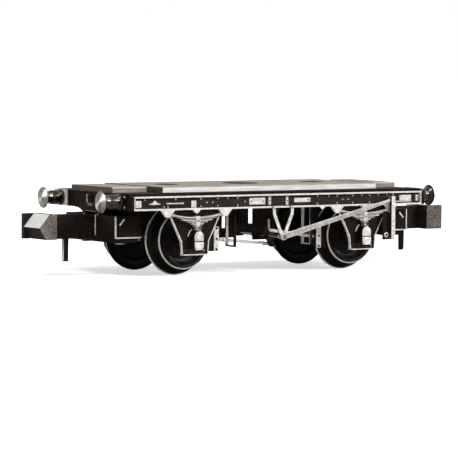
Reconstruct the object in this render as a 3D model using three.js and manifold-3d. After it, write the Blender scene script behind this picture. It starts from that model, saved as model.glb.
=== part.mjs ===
// A small-scale railway wagon chassis: a four-wheeled flat underframe with its ballast weight,
// two wheelsets, hooked couplers, buffers and brake gear.
// Millimetres, +X along the wagon, +Y across it, +Z up, z = 0 under the wheel flanges.
import * as THREE from 'three';
import { mergeVertices } from 'three/addons/utils/BufferGeometryUtils.js';
import Module from 'manifold-3d';

const wasm = await Module();
wasm.setup();

// ---------------------------------------------------------------------------
// Driving dimensions
// ---------------------------------------------------------------------------

// Facets of round pieces, and steps of curved ones.
const wheelFacets = 36;
const holeFacets = 40;
const rodFacets = 16;
const shankFacets = 20;
const headFacets = 24;
const wireFacets = 6;
const springSteps = 24;
const leafSteps = 8;
const curveSteps = 6;
const shoulderSteps = 5;

// How far joined shapes sink into each other, and how far cutting shapes run past a piece.
const joinOverlap = 0.05;
const cutMargin = 1;

const frameLength = 36;
const frameWidth = 16.2;
const wheelbase = 20.6;

const treadRadius = 3.05;
const flangeDepth = 0.6;
const backToBack = 7.45;
const wheelWidth = 1.9;
const wheelHubRadius = 1.0;
const wheelRimRadius = 2.55;
const wheelDish = 0.55;
const wheelBackDish = 0.4;
const wheelEdge = 0.1;
const flangeWidth = 0.5;
const axleRadius = 0.5;
const fitGap = 0.02;
const axleTipInset = 0.1;
const axleTipRadius = 0.08;
const axleConeLength = 0.8;

const solebarOverAxle = 3.164;
const solebarDepth = 1.42;
const solebarFlange = 0.18;
const solebarOutstand = 0.4;
const solebarWeb = 0.35;

const floorThickness = 0.23;
const floorInset = 0.5;
const floorEndInset = 0.1;

const slabThickness = 0.58;
const slabWidth = 11.6;
const slabFromLeft = 5.05;
const slabFromRight = 4.65;
const slabHoleSpacing = 9.0;
const slabMiddleHoleRadius = 1.97;
const slabOuterHoleRadius = 1.3;
const deckBlockWidth = 8.3;
const deckGap = 0.9;
const leftBlockInset = 0.15;
const rightBlockInset = 1.0;
const deckBevel = 0.1;

const headstockThickness = 0.35;
const headstockFlange = 0.2;
const headstockFlangeReach = 1.0;
const dropTopHalfWidth = 3.5;
const dropBottomHalfWidth = 1.5;
const armNotchHalfWidth = 1.1;
const armNotchHeight = 0.3;
const hangerWeb = 0.4;

const pocketLength = 3.0;
const pocketWidth = 10;
const pocketUnderSolebar = 0.65;
const pocketHeight = 2.25;
const pocketWall = 0.35;
const pocketRibAt = 2.1;
const pocketRib = 0.4;
const slotHalfWidth = 0.95;
const slotSill = 0.25;
const coverThickness = 0.45;
const coverInset = 0.25;

const couplerPivotInset = 1.8;
const couplerPivotUnderPocketTop = 1.25;
const couplerReach = 6.8;
const couplerRise = 1.4;
const couplerDrop = 1.15;
const noseRise = 0.05;
const noseLength = 2.0;
const noseTopLength = 0.85;
const noseBottomLength = 1.2;
const noseWidth = 3.3;
const cheekWidth = 0.45;
const armWidth = 1.2;
const armRise = 1.3;
const armStart = 0.6;
const armChamferStart = 0.15;
const armChamferDrop = 0.4;
const neckHeight = 1.15;
const neckReachInside = 0.7;
const tongueHeight = 0.5;
const tailBarRadius = 0.35;
const tailBarLength = 3.2;
const dropPinAt = 2.9;
const dropPinRadius = 0.33;
const dropPinLength = 2.3;
const dropPinTaper = 0.9;

const springRadius = 0.42;
const springWire = 0.08;
const springTurns = 2;
const springEndGap = 0.09;

const ironThickness = 0.35;
const ironTopHalf = 3.15;
const ironKneeHalf = 1.62;
const ironKneeDrop = 0.036;
const ironFootHalf = 1.5;
const ironFootDrop = 1.436;
const ironStrap = 0.28;
const ironGuideAt = 0.95;
const ironHead = 1.3;
const bearingRise = 1.064;
const bearingDrop = 0.886;

const boxHalfWidth = 0.57;
const boxDrop = 0.886;
const boxShoulderRise = 0.464;
const boxRise = 1.014;
const boxTopHalf = 0.27;
const boxDepth = 0.9;

const leafHalfLengths = [2.85, 2.3, 1.75, 1.2, 0.68];
const leafThickness = 0.17;
const leafWidth = 0.55;
const leafRise = 0.32;
const leafUnderSolebar = 0.72;
const buckleHalf = 0.23;
const buckleProud = 0.1;
const buckleUnderSolebar = 0.63;

const bracketAt = 3.4;
const bracketHalf = 0.8;
const bracketDrop = 0.72;
const stopHalf = 0.45;
const stopDrop = 0.35;
const bracketThickness = 0.32;

const bufferFromEdge = 2.23;
const bufferOverSolebarBottom = 0.85;
const bufferProjection = 2.42;
const bufferHeadRadius = 1.1;
const bufferHeadThickness = 0.28;
const bufferDome = 0.1;
const bufferFlareLength = 0.3;
const bufferFlareRadius = 0.95;
const shankRadius = 0.73;
const bufferPadHalf = 1.3;
const bufferPadThickness = 0.12;
const bufferPadRim = 0.1;

const shaftUnderSolebar = 2.95;
const shaftRadius = 0.17;
const hangerThickness = 0.18;
const hangerStrap = 0.36;
const hangerHalf = 1.12;
const hangerKneeInset = 0.03;
const hangerKneeDrop = 0.6;
const hangerEyeRadius = 0.38;
const leverThickness = 0.18;
const leverStandoff = 0.02;
const leverReach = 13.3;
const leverEndRise = 3.45;
const leverBendShare = 0.8;
const leverBendSag = 0.03;
const leverBendHalf = 0.2;
const leverRootHalf = 0.3;
const leverEndHalf = 0.15;
const leverEyeRadius = 0.36;
const guardAt = 13.6;
const guardHalf = 0.23;
const guardRise = 0.95;
const guardDrop = 3.6;
const guardStrap = 0.14;
const guardClearance = 0.06;
const guardBridge = 0.18;

const brakeAt = 5.05;
const shoeThickness = 1.1;
const shoeGap = 0.12;
const shoeHalfHeight = 1.27;
const shoeWidth = 0.7;
const shoeHangerHalf = 0.25;
const rodRadius = 0.2;
const rodUnderAxle = 0.086;
const tumblerThickness = 0.3;
const tumblerHalf = 0.32;
const lowerPinRun = 0.45;
const lowerPinDrop = 0.9;
const upperPinRun = 0.4;
const upperPinRise = 0.6;
const loopSpots = [-4.3, 5.1];
const loopHalf = 0.85;
const loopStrap = 0.16;
const loopWidth = 0.3;
const loopUnderShaft = 1.1;
const shaftHangerHalf = 0.45;
const shaftHangerThickness = 0.3;
const brakeFrameAt = 3.7;
const brakeFrameThickness = 0.3;
const brakeFrameLeft = [-5.3, -3];
const brakeFrameBar = [-2.36, -1.36];
const brakeFrameRight = [-0.75, 1.85];
const brakeFrameTie = [0.25, 1.15];
const brakeFrameLeftFoot = 0.25;
const brakeFrameRightFoot = 0.55;
const brakeFrameSlot = [-4.6, -4.1];
const brakeFrameSlotRise = [0.75, 1.95];
const bearerSpots = [-6.3, 6.3];
const bearerWidth = 0.5;
const bearerDepth = 0.9;
const bearerOuter = 3.3;

// ---------------------------------------------------------------------------
// Levels and places that follow from them
// ---------------------------------------------------------------------------

const halfLength = frameLength / 2;
const halfWidth = frameWidth / 2;
const flangeRadius = treadRadius + flangeDepth;
const axleHeight = flangeRadius * Math.cos(Math.PI / wheelFacets);
const solebarBottom = axleHeight + solebarOverAxle;
const solebarTop = solebarBottom + solebarDepth;
const floorTop = solebarTop + floorThickness;
const slabTop = floorTop + slabThickness;
const webOuter = halfWidth - solebarOutstand;
const webInner = webOuter - solebarWeb;
const solebarEnd = halfLength - headstockThickness;
const axleTipReach = webOuter - axleTipInset;
const ironKneeHeight = axleHeight - ironKneeDrop;
const ironFootHeight = axleHeight - ironFootDrop;
const bearingTop = axleHeight + bearingRise;
const bearingBottom = axleHeight - bearingDrop;
const boxBottom = axleHeight - boxDrop;
const boxTop = axleHeight + boxRise;
const pocketTop = solebarBottom - pocketUnderSolebar;
const pocketBottom = pocketTop - pocketHeight;
const couplerPivotHeight = pocketTop - couplerPivotUnderPocketTop;
const couplerTop = couplerPivotHeight + couplerRise;
const couplerBottom = couplerPivotHeight - couplerDrop;
const bufferAt = halfWidth - bufferFromEdge;
const bufferHeight = solebarBottom + bufferOverSolebarBottom;
const shaftHeight = solebarBottom - shaftUnderSolebar;
const lowerPin = [lowerPinRun, shaftHeight - lowerPinDrop];
const upperPin = [-upperPinRun, shaftHeight + upperPinRise];
const endFace = -halfLength;
const pocketBack = endFace + pocketLength;
const pivotX = endFace + couplerPivotInset;
const leverInner = halfWidth + hangerThickness + leverStandoff;
const leverOuter = leverInner + leverThickness;
const leverEndHeight = shaftHeight + leverEndRise;
const slabLeft = -halfLength + slabFromLeft;
const slabRight = halfLength - slabFromRight;

// ---------------------------------------------------------------------------
// Colours and finishes
// ---------------------------------------------------------------------------

const blackPlastic = { color: 0x1b1614, roughness: 0.55, metalness: 0 };
const castWeight = { color: 0xaaa399, roughness: 0.5, metalness: 0.3 };
const turnedMetal = { color: 0xd8d6d2, roughness: 0.2, metalness: 1 };
const springSteel = { color: 0x8d8a86, roughness: 0.35, metalness: 1 };

// ---------------------------------------------------------------------------
// Shape helpers
// ---------------------------------------------------------------------------

// A welded copy with position only, and without the flat triangles that lathes leave on their axis.
function bare(geometry) {
  const copy = geometry.clone();
  copy.deleteAttribute('normal');
  copy.deleteAttribute('uv');
  const welded = mergeVertices(copy, 1e-5);
  const order = welded.getIndex();
  const kept = [];
  for (let i = 0; i < order.count; i += 3) {
    const [a, b, c] = [order.getX(i), order.getX(i + 1), order.getX(i + 2)];
    if (a !== b && b !== c && c !== a) {
      kept.push(a, b, c);
    }
  }
  welded.setIndex(kept);
  return welded;
}

function signedVolume(geometry) {
  const place = geometry.getAttribute('position');
  const order = geometry.getIndex();
  const a = new THREE.Vector3();
  const b = new THREE.Vector3();
  const c = new THREE.Vector3();
  let sum = 0;
  for (let i = 0; i < order.count; i += 3) {
    a.fromBufferAttribute(place, order.getX(i));
    b.fromBufferAttribute(place, order.getX(i + 1));
    c.fromBufferAttribute(place, order.getX(i + 2));
    sum += a.dot(b.cross(c)) / 6;
  }
  return sum;
}

// A welded copy of a geometry whose faces point out.
function outward(geometry) {
  const welded = bare(geometry);
  if (signedVolume(welded) < 0) {
    const order = welded.getIndex();
    for (let i = 0; i < order.count; i += 3) {
      const second = order.getX(i + 1);
      order.setX(i + 1, order.getX(i + 2));
      order.setX(i + 2, second);
    }
  }
  return welded;
}

function toManifold(geometry) {
  const welded = outward(geometry);
  return new wasm.Manifold(new wasm.Mesh({
    numProp: 3,
    vertProperties: Float32Array.from(welded.getAttribute('position').array),
    triVerts: Uint32Array.from(welded.getIndex().array),
  }));
}

function fromManifold(manifold) {
  const mesh = manifold.getMesh();
  const geometry = new THREE.BufferGeometry();
  geometry.setAttribute('position', new THREE.BufferAttribute(mesh.vertProperties, 3));
  geometry.setIndex(new THREE.BufferAttribute(mesh.triVerts, 1));
  return geometry;
}

function join(first, ...others) {
  const sum = others.reduce((whole, piece) => whole.add(toManifold(piece)), toManifold(first));
  return fromManifold(sum);
}

function cut(first, ...others) {
  const rest = others.reduce((whole, piece) => whole.subtract(toManifold(piece)), toManifold(first));
  return fromManifold(rest);
}

function block(x0, x1, y0, y1, z0, z1) {
  const geometry = new THREE.BoxGeometry(x1 - x0, y1 - y0, z1 - z0);
  geometry.translate((x0 + x1) / 2, (y0 + y1) / 2, (z0 + z1) / 2);
  return geometry;
}

function shapeOf(outline) {
  return new THREE.Shape(outline.map(([a, b]) => new THREE.Vector2(a, b)));
}

// An outline in X and Z, made solid from y0 to y1.
function plateXZ(outline, y0, y1) {
  const geometry = new THREE.ExtrudeGeometry(shapeOf(outline), { depth: y1 - y0, bevelEnabled: false });
  geometry.rotateX(Math.PI / 2);
  geometry.translate(0, y1, 0);
  return geometry;
}

// An outline in Y and Z, made solid from x0 to x1.
function plateYZ(outline, x0, x1) {
  const geometry = new THREE.ExtrudeGeometry(shapeOf(outline), { depth: x1 - x0, bevelEnabled: false });
  const turn = new THREE.Matrix4().makeBasis(
    new THREE.Vector3(0, 1, 0),
    new THREE.Vector3(0, 0, 1),
    new THREE.Vector3(1, 0, 0),
  );
  geometry.applyMatrix4(turn);
  geometry.translate(x0, 0, 0);
  return geometry;
}

// A turned shape about the Y axis from [radius, y] points, with a flat facet at the bottom.
function turnedY(profile, facets) {
  const points = profile.map(([radius, y]) => new THREE.Vector2(radius, y));
  return new THREE.LatheGeometry(points, facets, Math.PI / facets, 2 * Math.PI);
}

// A turned shape about the X axis from [radius, x] points.
function turnedX(profile, facets) {
  const geometry = turnedY(profile, facets);
  geometry.rotateZ(-Math.PI / 2);
  return geometry;
}

function rodY(radius, y0, y1, x, z, facets = rodFacets) {
  const geometry = turnedY([[0, y0], [radius, y0], [radius, y1], [0, y1]], facets);
  geometry.translate(x, 0, z);
  return geometry;
}

// The outline of a band of the given width along a line of points.
function band(points, width) {
  const normals = points.map((point, i) => {
    const before = points[Math.max(i - 1, 0)];
    const after = points[Math.min(i + 1, points.length - 1)];
    const run = Math.hypot(after[0] - before[0], after[1] - before[1]);
    return [-(after[1] - before[1]) / run, (after[0] - before[0]) / run];
  });
  const side = (sign) => points.map(([a, b], i) => [
    a + sign * normals[i][0] * width / 2,
    b + sign * normals[i][1] * width / 2,
  ]);
  return [...side(1), ...side(-1).reverse()];
}

function circle(centreA, centreB, radius, steps = shankFacets) {
  return Array.from({ length: steps }, (_, i) => {
    const angle = 2 * Math.PI * i / steps;
    return [centreA + radius * Math.cos(angle), centreB + radius * Math.sin(angle)];
  });
}

function arc(centreA, centreB, radiusA, radiusB, from, to, steps) {
  return Array.from({ length: steps + 1 }, (_, i) => {
    const angle = from + (to - from) * i / steps;
    return [centreA + radiusA * Math.cos(angle), centreB + radiusB * Math.sin(angle)];
  });
}

function mirrored(outline) {
  return outline.map(([a, b]) => [-a, b]).reverse();
}

const chassis = new THREE.Group();

function addMesh(parent, name, geometry, finish) {
  const solid = outward(geometry);
  solid.computeVertexNormals();
  const mesh = new THREE.Mesh(solid, new THREE.MeshStandardMaterial(finish));
  mesh.name = name;
  parent.add(mesh);
  return mesh;
}

// ---------------------------------------------------------------------------
// Floor, ballast weight and deck blocks
// ---------------------------------------------------------------------------

// A flat bar from x0 to x1 with its upper edges bevelled, before any holes.
function bevelledBar(x0, x1, width) {
  const half = width / 2;
  const section = [
    [-half, floorTop],
    [half, floorTop],
    [half, slabTop - deckBevel],
    [half - deckBevel, slabTop],
    [-half + deckBevel, slabTop],
    [-half, slabTop - deckBevel],
  ];
  return plateYZ(section, x0, x1);
}

function slabHole(x, radius) {
  const hole = new THREE.CylinderGeometry(radius, radius, 3 * slabThickness, holeFacets);
  hole.rotateX(Math.PI / 2);
  hole.translate(x, 0, (floorTop + slabTop) / 2);
  return hole;
}

function addDeck() {
  const floorHalf = halfLength - floorEndInset;
  const floorSide = halfWidth - floorInset;
  addMesh(chassis, 'floor',
    block(-floorHalf, floorHalf, -floorSide, floorSide, solebarTop, floorTop), blackPlastic);

  const slab = cut(
    bevelledBar(slabLeft, slabRight, slabWidth),
    slabHole(-slabHoleSpacing, slabOuterHoleRadius),
    slabHole(0, slabMiddleHoleRadius),
    slabHole(slabHoleSpacing, slabOuterHoleRadius),
  );
  addMesh(chassis, 'ballast_weight', slab, castWeight);
  addMesh(chassis, 'deck_block_left',
    bevelledBar(-halfLength + leftBlockInset, slabLeft - deckGap, deckBlockWidth), castWeight);
  addMesh(chassis, 'deck_block_right',
    bevelledBar(slabRight + deckGap, halfLength - rightBlockInset, deckBlockWidth), castWeight);
}

// ---------------------------------------------------------------------------
// Solebars: channels with their flanges outward, and the spring brackets below them
// ---------------------------------------------------------------------------

function solebarSection() {
  return [
    [webInner, solebarBottom],
    [halfWidth, solebarBottom],
    [halfWidth, solebarBottom + solebarFlange],
    [webOuter, solebarBottom + solebarFlange],
    [webOuter, solebarTop - solebarFlange],
    [halfWidth, solebarTop - solebarFlange],
    [halfWidth, solebarTop],
    [webInner, solebarTop],
  ];
}

function springBracket(x, half, drop) {
  const topZ = solebarBottom + solebarFlange / 2;
  const outline = [
    [x - half, topZ],
    [x - half, solebarBottom],
    [x - half / 4, solebarBottom - drop],
    [x + half / 4, solebarBottom - drop],
    [x + half, solebarBottom],
    [x + half, topZ],
  ];
  return plateXZ(outline, halfWidth - bracketThickness, halfWidth);
}

function addSolebars() {
  const pieces = [plateYZ(solebarSection(), -solebarEnd, solebarEnd)];
  for (const axle of [-wheelbase / 2, wheelbase / 2]) {
    pieces.push(springBracket(axle - bracketAt, bracketHalf, bracketDrop));
    pieces.push(springBracket(axle + bracketAt, bracketHalf, bracketDrop));
    pieces.push(springBracket(axle, stopHalf, stopDrop));
  }
  const solebar = join(...pieces);
  addMesh(chassis, 'solebar_far', solebar, blackPlastic);
  addMesh(chassis, 'solebar_near', solebar, blackPlastic).rotation.z = Math.PI;
}

// ---------------------------------------------------------------------------
// Wheels, axles, W-irons, axleboxes and springs
// ---------------------------------------------------------------------------

// A dished disc wheel. Its back is at y = 0 and its front at y = wheelWidth.
function wheelShape() {
  const bore = axleRadius + fitGap;
  const profile = [
    [bore, 0],
    [wheelHubRadius, 0],
    [wheelHubRadius, wheelBackDish],
    [wheelRimRadius, wheelBackDish],
    [wheelRimRadius, 0],
    [flangeRadius - flangeDepth / 2, 0],
    [flangeRadius, flangeWidth / 3],
    [flangeRadius, flangeWidth / 2],
    [treadRadius, flangeWidth + wheelEdge],
    [treadRadius, wheelWidth - wheelEdge],
    [treadRadius - wheelEdge, wheelWidth],
    [wheelRimRadius, wheelWidth],
    [wheelRimRadius - wheelEdge, wheelWidth - wheelDish],
    [wheelHubRadius, wheelWidth - wheelDish],
    [wheelHubRadius, wheelWidth - wheelEdge],
    [bore, wheelWidth - wheelEdge],
    [bore, 0],
  ];
  return turnedY(profile, wheelFacets);
}

function axleProfile(clearance) {
  const shoulder = axleTipReach - axleConeLength;
  return [
    [0, -axleTipReach - clearance],
    [axleTipRadius + clearance, -axleTipReach - clearance],
    [axleRadius + clearance, -shoulder],
    [axleRadius + clearance, shoulder],
    [axleTipRadius + clearance, axleTipReach + clearance],
    [0, axleTipReach + clearance],
  ];
}

// The axle guard in X and Z about the axle's place: a splayed plate with an opening over the
// bearing, and a tie bar across the foot.
function ironOutline() {
  const right = [
    [ironFootHalf, ironFootHeight],
    [ironFootHalf, ironFootHeight + 2 * ironStrap],
    [ironKneeHalf, ironKneeHeight],
    [ironTopHalf, solebarBottom],
  ];
  return [...right, ...mirrored(right)];
}

function ironFootWindow() {
  const half = ironFootHalf - ironStrap;
  return [
    [-half, ironFootHeight + ironStrap],
    [half, ironFootHeight + ironStrap],
    [half, bearingBottom],
    [-half, bearingBottom],
  ];
}

function springWindow() {
  const half = ironGuideAt - ironStrap / 2;
  const top = solebarBottom - ironHead;
  return [[-half, bearingTop], [half, bearingTop], [half, top], [-half, top]];
}

function ironShape() {
  const plate = plateXZ(ironOutline(), webOuter - ironThickness, webOuter);
  const windows = [ironFootWindow(), springWindow()]
    .map((outline) => plateXZ(outline, webOuter - 2 * ironThickness, webOuter + ironThickness));
  const bearing = turnedY(axleProfile(fitGap * 2), rodFacets);
  bearing.translate(0, 0, axleHeight);
  return cut(plate, bearing, ...windows);
}

// The axlebox in X and Z: straight sides, round shoulders and a narrow flat top.
function axleboxShape() {
  const shoulderRun = boxHalfWidth - boxTopHalf;
  const boxShoulder = axleHeight + boxShoulderRise;
  const rightShoulder = arc(boxTopHalf, boxShoulder, shoulderRun, boxTop - boxShoulder, 0, Math.PI / 2,
    shoulderSteps);
  const right = [[boxHalfWidth, boxBottom], ...rightShoulder];
  return plateXZ([...right, ...mirrored(right)], webOuter, webOuter + boxDepth);
}

function leafOutline(halfSpan, topAtMiddle) {
  const curve = (x) => topAtMiddle + leafRise * (x / leafHalfLengths[0]) ** 2;
  const xs = Array.from({ length: leafSteps + 1 }, (_, i) => -halfSpan + 2 * halfSpan * i / leafSteps);
  const lower = xs.map((x) => [x, curve(x) - leafThickness]);
  const upper = xs.map((x) => [x, curve(x)]).reverse();
  return [...lower, ...upper];
}

function leafSpringShape() {
  const leafOverlap = 0.01;
  const leafTop = solebarBottom - leafUnderSolebar;
  const buckleTop = solebarBottom - buckleUnderSolebar;
  const leaves = leafHalfLengths.map((half, i) => plateXZ(
    leafOutline(half, leafTop - i * (leafThickness - leafOverlap)), webOuter, webOuter + leafWidth));
  const buckleFace = webOuter + leafWidth + buckleProud;
  const buckle = block(-buckleHalf, buckleHalf, webOuter, buckleFace, boxTop, buckleTop);
  return join(buckle, ...leaves);
}

function addRunningGear() {
  const wheel = wheelShape();
  const axle = turnedY(axleProfile(0), rodFacets);
  const iron = ironShape();
  const axlebox = axleboxShape();
  const spring = leafSpringShape();
  for (const end of [{ name: 'left', x: -wheelbase / 2 }, { name: 'right', x: wheelbase / 2 }]) {
    const station = new THREE.Group();
    station.position.x = end.x;
    chassis.add(station);
    addMesh(station, `axle_${end.name}`, axle, turnedMetal).position.z = axleHeight;
    for (const side of [{ name: 'far', turn: 0, sign: 1 }, { name: 'near', turn: Math.PI, sign: -1 }]) {
      const label = `${end.name}_${side.name}`;
      const wheelMesh = addMesh(station, `wheel_${label}`, wheel, blackPlastic);
      wheelMesh.rotation.z = side.turn;
      wheelMesh.position.set(0, side.sign * backToBack / 2, axleHeight);
      addMesh(station, `w_iron_${label}`, iron, blackPlastic).rotation.z = side.turn;
      addMesh(station, `axlebox_${label}`, axlebox, blackPlastic).rotation.z = side.turn;
      addMesh(station, `leaf_spring_${label}`, spring, blackPlastic).rotation.z = side.turn;
    }
  }
}

// ---------------------------------------------------------------------------
// One end of the wagon, drawn at the left end: headstock, pocket, coupler and buffers
// ---------------------------------------------------------------------------

// The headstock's face, with the drop that carries the coupler pocket and a notch for the arm.
function headstockFace() {
  const drop = solebarBottom - pocketTop;
  const curveRun = dropTopHalfWidth - dropBottomHalfWidth;
  const rightCurve = arc(dropTopHalfWidth, pocketTop, curveRun, drop, Math.PI / 2, Math.PI, curveSteps);
  const right = [
    [armNotchHalfWidth, pocketTop],
    ...rightCurve.reverse(),
    [halfWidth, solebarBottom],
    [halfWidth, solebarTop],
  ];
  const notchTop = pocketTop + armNotchHeight;
  const notch = [[-armNotchHalfWidth, notchTop], [armNotchHalfWidth, notchTop]];
  return [...notch, ...right, ...mirrored(right)];
}

function headstockShape() {
  const inner = endFace + headstockThickness;
  const reach = endFace + headstockFlangeReach;
  const span = webInner - fitGap;
  const upper = block(inner - joinOverlap, reach, -span, span, solebarTop - headstockFlange, solebarTop);
  const pieces = [plateYZ(headstockFace(), endFace, inner), upper];
  for (const sign of [-1, 1]) {
    const from = Math.min(sign * dropTopHalfWidth, sign * span);
    const to = Math.max(sign * dropTopHalfWidth, sign * span);
    pieces.push(block(inner - joinOverlap, reach, from, to, solebarBottom, solebarBottom + headstockFlange));
    const webFrom = sign > 0 ? dropBottomHalfWidth : -dropBottomHalfWidth - hangerWeb;
    pieces.push(block(inner - joinOverlap, pocketBack - headstockFlange, webFrom, webFrom + hangerWeb,
      pocketTop, solebarTop));
  }
  return join(...pieces);
}

// The coupler pocket: a wide shell open below, ribbed each side of the coupler, slotted in front.
function pocketShape() {
  const half = pocketWidth / 2;
  const front = endFace + pocketWall;
  const back = pocketBack - pocketWall;
  const roof = pocketTop - pocketWall;
  const below = pocketBottom - pocketWall;
  const shell = block(endFace, pocketBack, -half, half, pocketBottom, pocketTop);
  const middle = block(front, back, -pocketRibAt, pocketRibAt, below, roof);
  const wingFrom = pocketRibAt + pocketRib;
  const wingTo = half - pocketWall;
  const rightWing = block(front, back, wingFrom, wingTo, below, roof);
  const leftWing = block(front, back, -wingTo, -wingFrom, below, roof);
  const slot = block(endFace - cutMargin, front + joinOverlap, -slotHalfWidth, slotHalfWidth,
    pocketBottom + slotSill, pocketTop + cutMargin);
  return cut(shell, middle, rightWing, leftWing, slot);
}

function coverShape() {
  const half = pocketWidth / 2 - coverInset;
  return block(endFace + coverInset, pocketBack - coverInset, -half, half,
    pocketBottom - coverThickness, pocketBottom);
}

// The coupler: a wedge nose between the hook's open side and a full-height cheek,
// an upright arm, a thin tongue to the tail bar, and a drop pin under the arm.
function couplerShape() {
  const tip = endFace - couplerReach;
  const headBack = tip + noseLength;
  const noseHeight = couplerPivotHeight + noseRise;
  const armTop = couplerPivotHeight + armRise;
  const noseFrom = -noseWidth / 2;
  const noseTo = noseWidth / 2;
  const nose = plateXZ([
    [headBack, couplerBottom],
    [headBack, couplerTop],
    [headBack - noseTopLength, couplerTop],
    [tip, noseHeight],
    [headBack - noseBottomLength, couplerBottom],
  ], noseFrom, noseTo);
  const cheek = block(tip, headBack, noseTo - joinOverlap, noseTo + cheekWidth, couplerBottom, couplerTop);
  const armOutline = [
    [headBack - joinOverlap, couplerBottom],
    [endFace - armChamferStart, couplerBottom],
    [endFace - armChamferStart, armTop - armChamferDrop],
    [endFace - armStart, armTop],
    [headBack - joinOverlap, armTop],
  ];
  const arm = plateXZ(armOutline, -armWidth / 2, armWidth / 2);
  const neckFront = endFace - armChamferStart - joinOverlap;
  const neck = block(neckFront, endFace + neckReachInside, -armWidth / 2, armWidth / 2,
    couplerPivotHeight - neckHeight / 2, couplerPivotHeight + neckHeight / 2);
  const tongue = block(endFace + neckReachInside - joinOverlap, pivotX, -armWidth / 2, armWidth / 2,
    couplerPivotHeight - tongueHeight / 2, couplerPivotHeight + tongueHeight / 2);
  const tail = rodY(tailBarRadius, -tailBarLength / 2, tailBarLength / 2, pivotX, couplerPivotHeight,
    shankFacets);
  const pin = new THREE.CylinderGeometry(
    dropPinRadius, dropPinRadius * dropPinTaper, dropPinLength + joinOverlap, rodFacets);
  pin.rotateX(Math.PI / 2);
  pin.translate(endFace - dropPinAt, 0, couplerBottom + (joinOverlap - dropPinLength) / 2);
  return join(nose, cheek, arm, neck, tongue, tail, pin);
}

// The coil that presses on the tail bar and on the pocket's back wall.
function couplerSpringShape() {
  const from = pivotX + tailBarRadius + fitGap + springWire;
  const to = pocketBack - pocketWall - springWire - springEndGap;
  class Helix extends THREE.Curve {
    getPoint(t) {
      const angle = 2 * Math.PI * springTurns * t;
      return new THREE.Vector3(
        from + (to - from) * t,
        springRadius * Math.cos(angle),
        couplerPivotHeight + springRadius * Math.sin(angle),
      );
    }
  }
  const section = shapeOf(circle(0, 0, springWire, wireFacets));
  const sweep = { steps: springSteps, extrudePath: new Helix(), bevelEnabled: false };
  return new THREE.ExtrudeGeometry(section, sweep);
}

function bufferHousingShape() {
  const end = bufferProjection - bufferHeadThickness - bufferFlareLength;
  const shank = turnedX([[0, 0], [shankRadius, 0], [shankRadius, end], [0, end]], shankFacets);
  shank.rotateZ(Math.PI);
  shank.translate(endFace, 0, 0);
  const padHeight = Math.min(bufferHeight - solebarBottom, shankRadius + bufferPadRim);
  const pad = block(endFace - bufferPadThickness, endFace, -bufferPadHalf, bufferPadHalf,
    -padHeight, padHeight);
  return join(shank, pad);
}

function bufferHeadShape() {
  const back = bufferProjection - bufferHeadThickness - bufferFlareLength;
  const plate = back + bufferFlareLength;
  const profile = [
    [0, back],
    [shankRadius, back],
    [bufferFlareRadius, plate],
    [bufferHeadRadius, plate],
    [bufferHeadRadius, bufferProjection - bufferDome],
    [bufferHeadRadius / 2, bufferProjection - bufferDome / 4],
    [0, bufferProjection],
  ];
  const head = turnedX(profile, headFacets);
  head.rotateZ(Math.PI);
  head.translate(endFace, 0, 0);
  return head;
}

function addEnds() {
  const headstock = headstockShape();
  const pocket = pocketShape();
  const cover = coverShape();
  const coupler = couplerShape();
  const spring = couplerSpringShape();
  const housing = bufferHousingShape();
  const head = bufferHeadShape();
  for (const end of [{ name: 'left', turn: 0 }, { name: 'right', turn: Math.PI }]) {
    const group = new THREE.Group();
    group.rotation.z = end.turn;
    chassis.add(group);
    addMesh(group, `headstock_${end.name}`, headstock, blackPlastic);
    addMesh(group, `coupler_pocket_${end.name}`, pocket, blackPlastic);
    addMesh(group, `pocket_cover_${end.name}`, cover, blackPlastic);
    addMesh(group, `coupler_${end.name}`, coupler, blackPlastic);
    addMesh(group, `coupler_spring_${end.name}`, spring, springSteel);
    for (const sign of [-1, 1]) {
      const isNear = (sign < 0) === (end.turn === 0);
      const label = `${end.name}_${isNear ? 'near' : 'far'}`;
      for (const piece of [{ name: 'buffer_housing', shape: housing }, { name: 'buffer_head', shape: head }]) {
        const mesh = addMesh(group, `${piece.name}_${label}`, piece.shape, turnedMetal);
        mesh.position.set(0, sign * bufferAt, bufferHeight);
      }
    }
  }
}

// ---------------------------------------------------------------------------
// Brake gear
// ---------------------------------------------------------------------------

function vHangerShape() {
  const top = solebarBottom + solebarFlange;
  const leg = [
    [hangerHalf, top],
    [hangerHalf - hangerKneeInset, solebarBottom - hangerKneeDrop],
    [hangerEyeRadius / 2, shaftHeight + hangerEyeRadius / 2],
  ];
  const inner = halfWidth;
  const outer = halfWidth + hangerThickness;
  return join(
    plateXZ(band(leg, hangerStrap), inner, outer),
    plateXZ(band(mirrored(leg), hangerStrap), inner, outer),
    plateXZ(circle(0, shaftHeight, hangerEyeRadius), inner, outer),
  );
}

// The hand lever, drawn on the far side reaching towards -X.
function leverShape() {
  const bendReach = leverBendShare * leverReach;
  const bendHeight = shaftHeight + leverBendShare * leverEndRise - leverBendSag;
  const outline = [
    [0, shaftHeight - leverRootHalf],
    [0, shaftHeight + leverRootHalf],
    [-bendReach, bendHeight + leverBendHalf],
    [-leverReach, leverEndHeight + leverEndHalf],
    [-leverReach, leverEndHeight - leverEndHalf],
    [-bendReach, bendHeight - leverBendHalf],
  ];
  return join(
    plateXZ(outline.reverse(), leverInner, leverOuter),
    plateXZ(circle(0, shaftHeight, leverEyeRadius), leverInner, leverOuter),
  );
}

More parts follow.
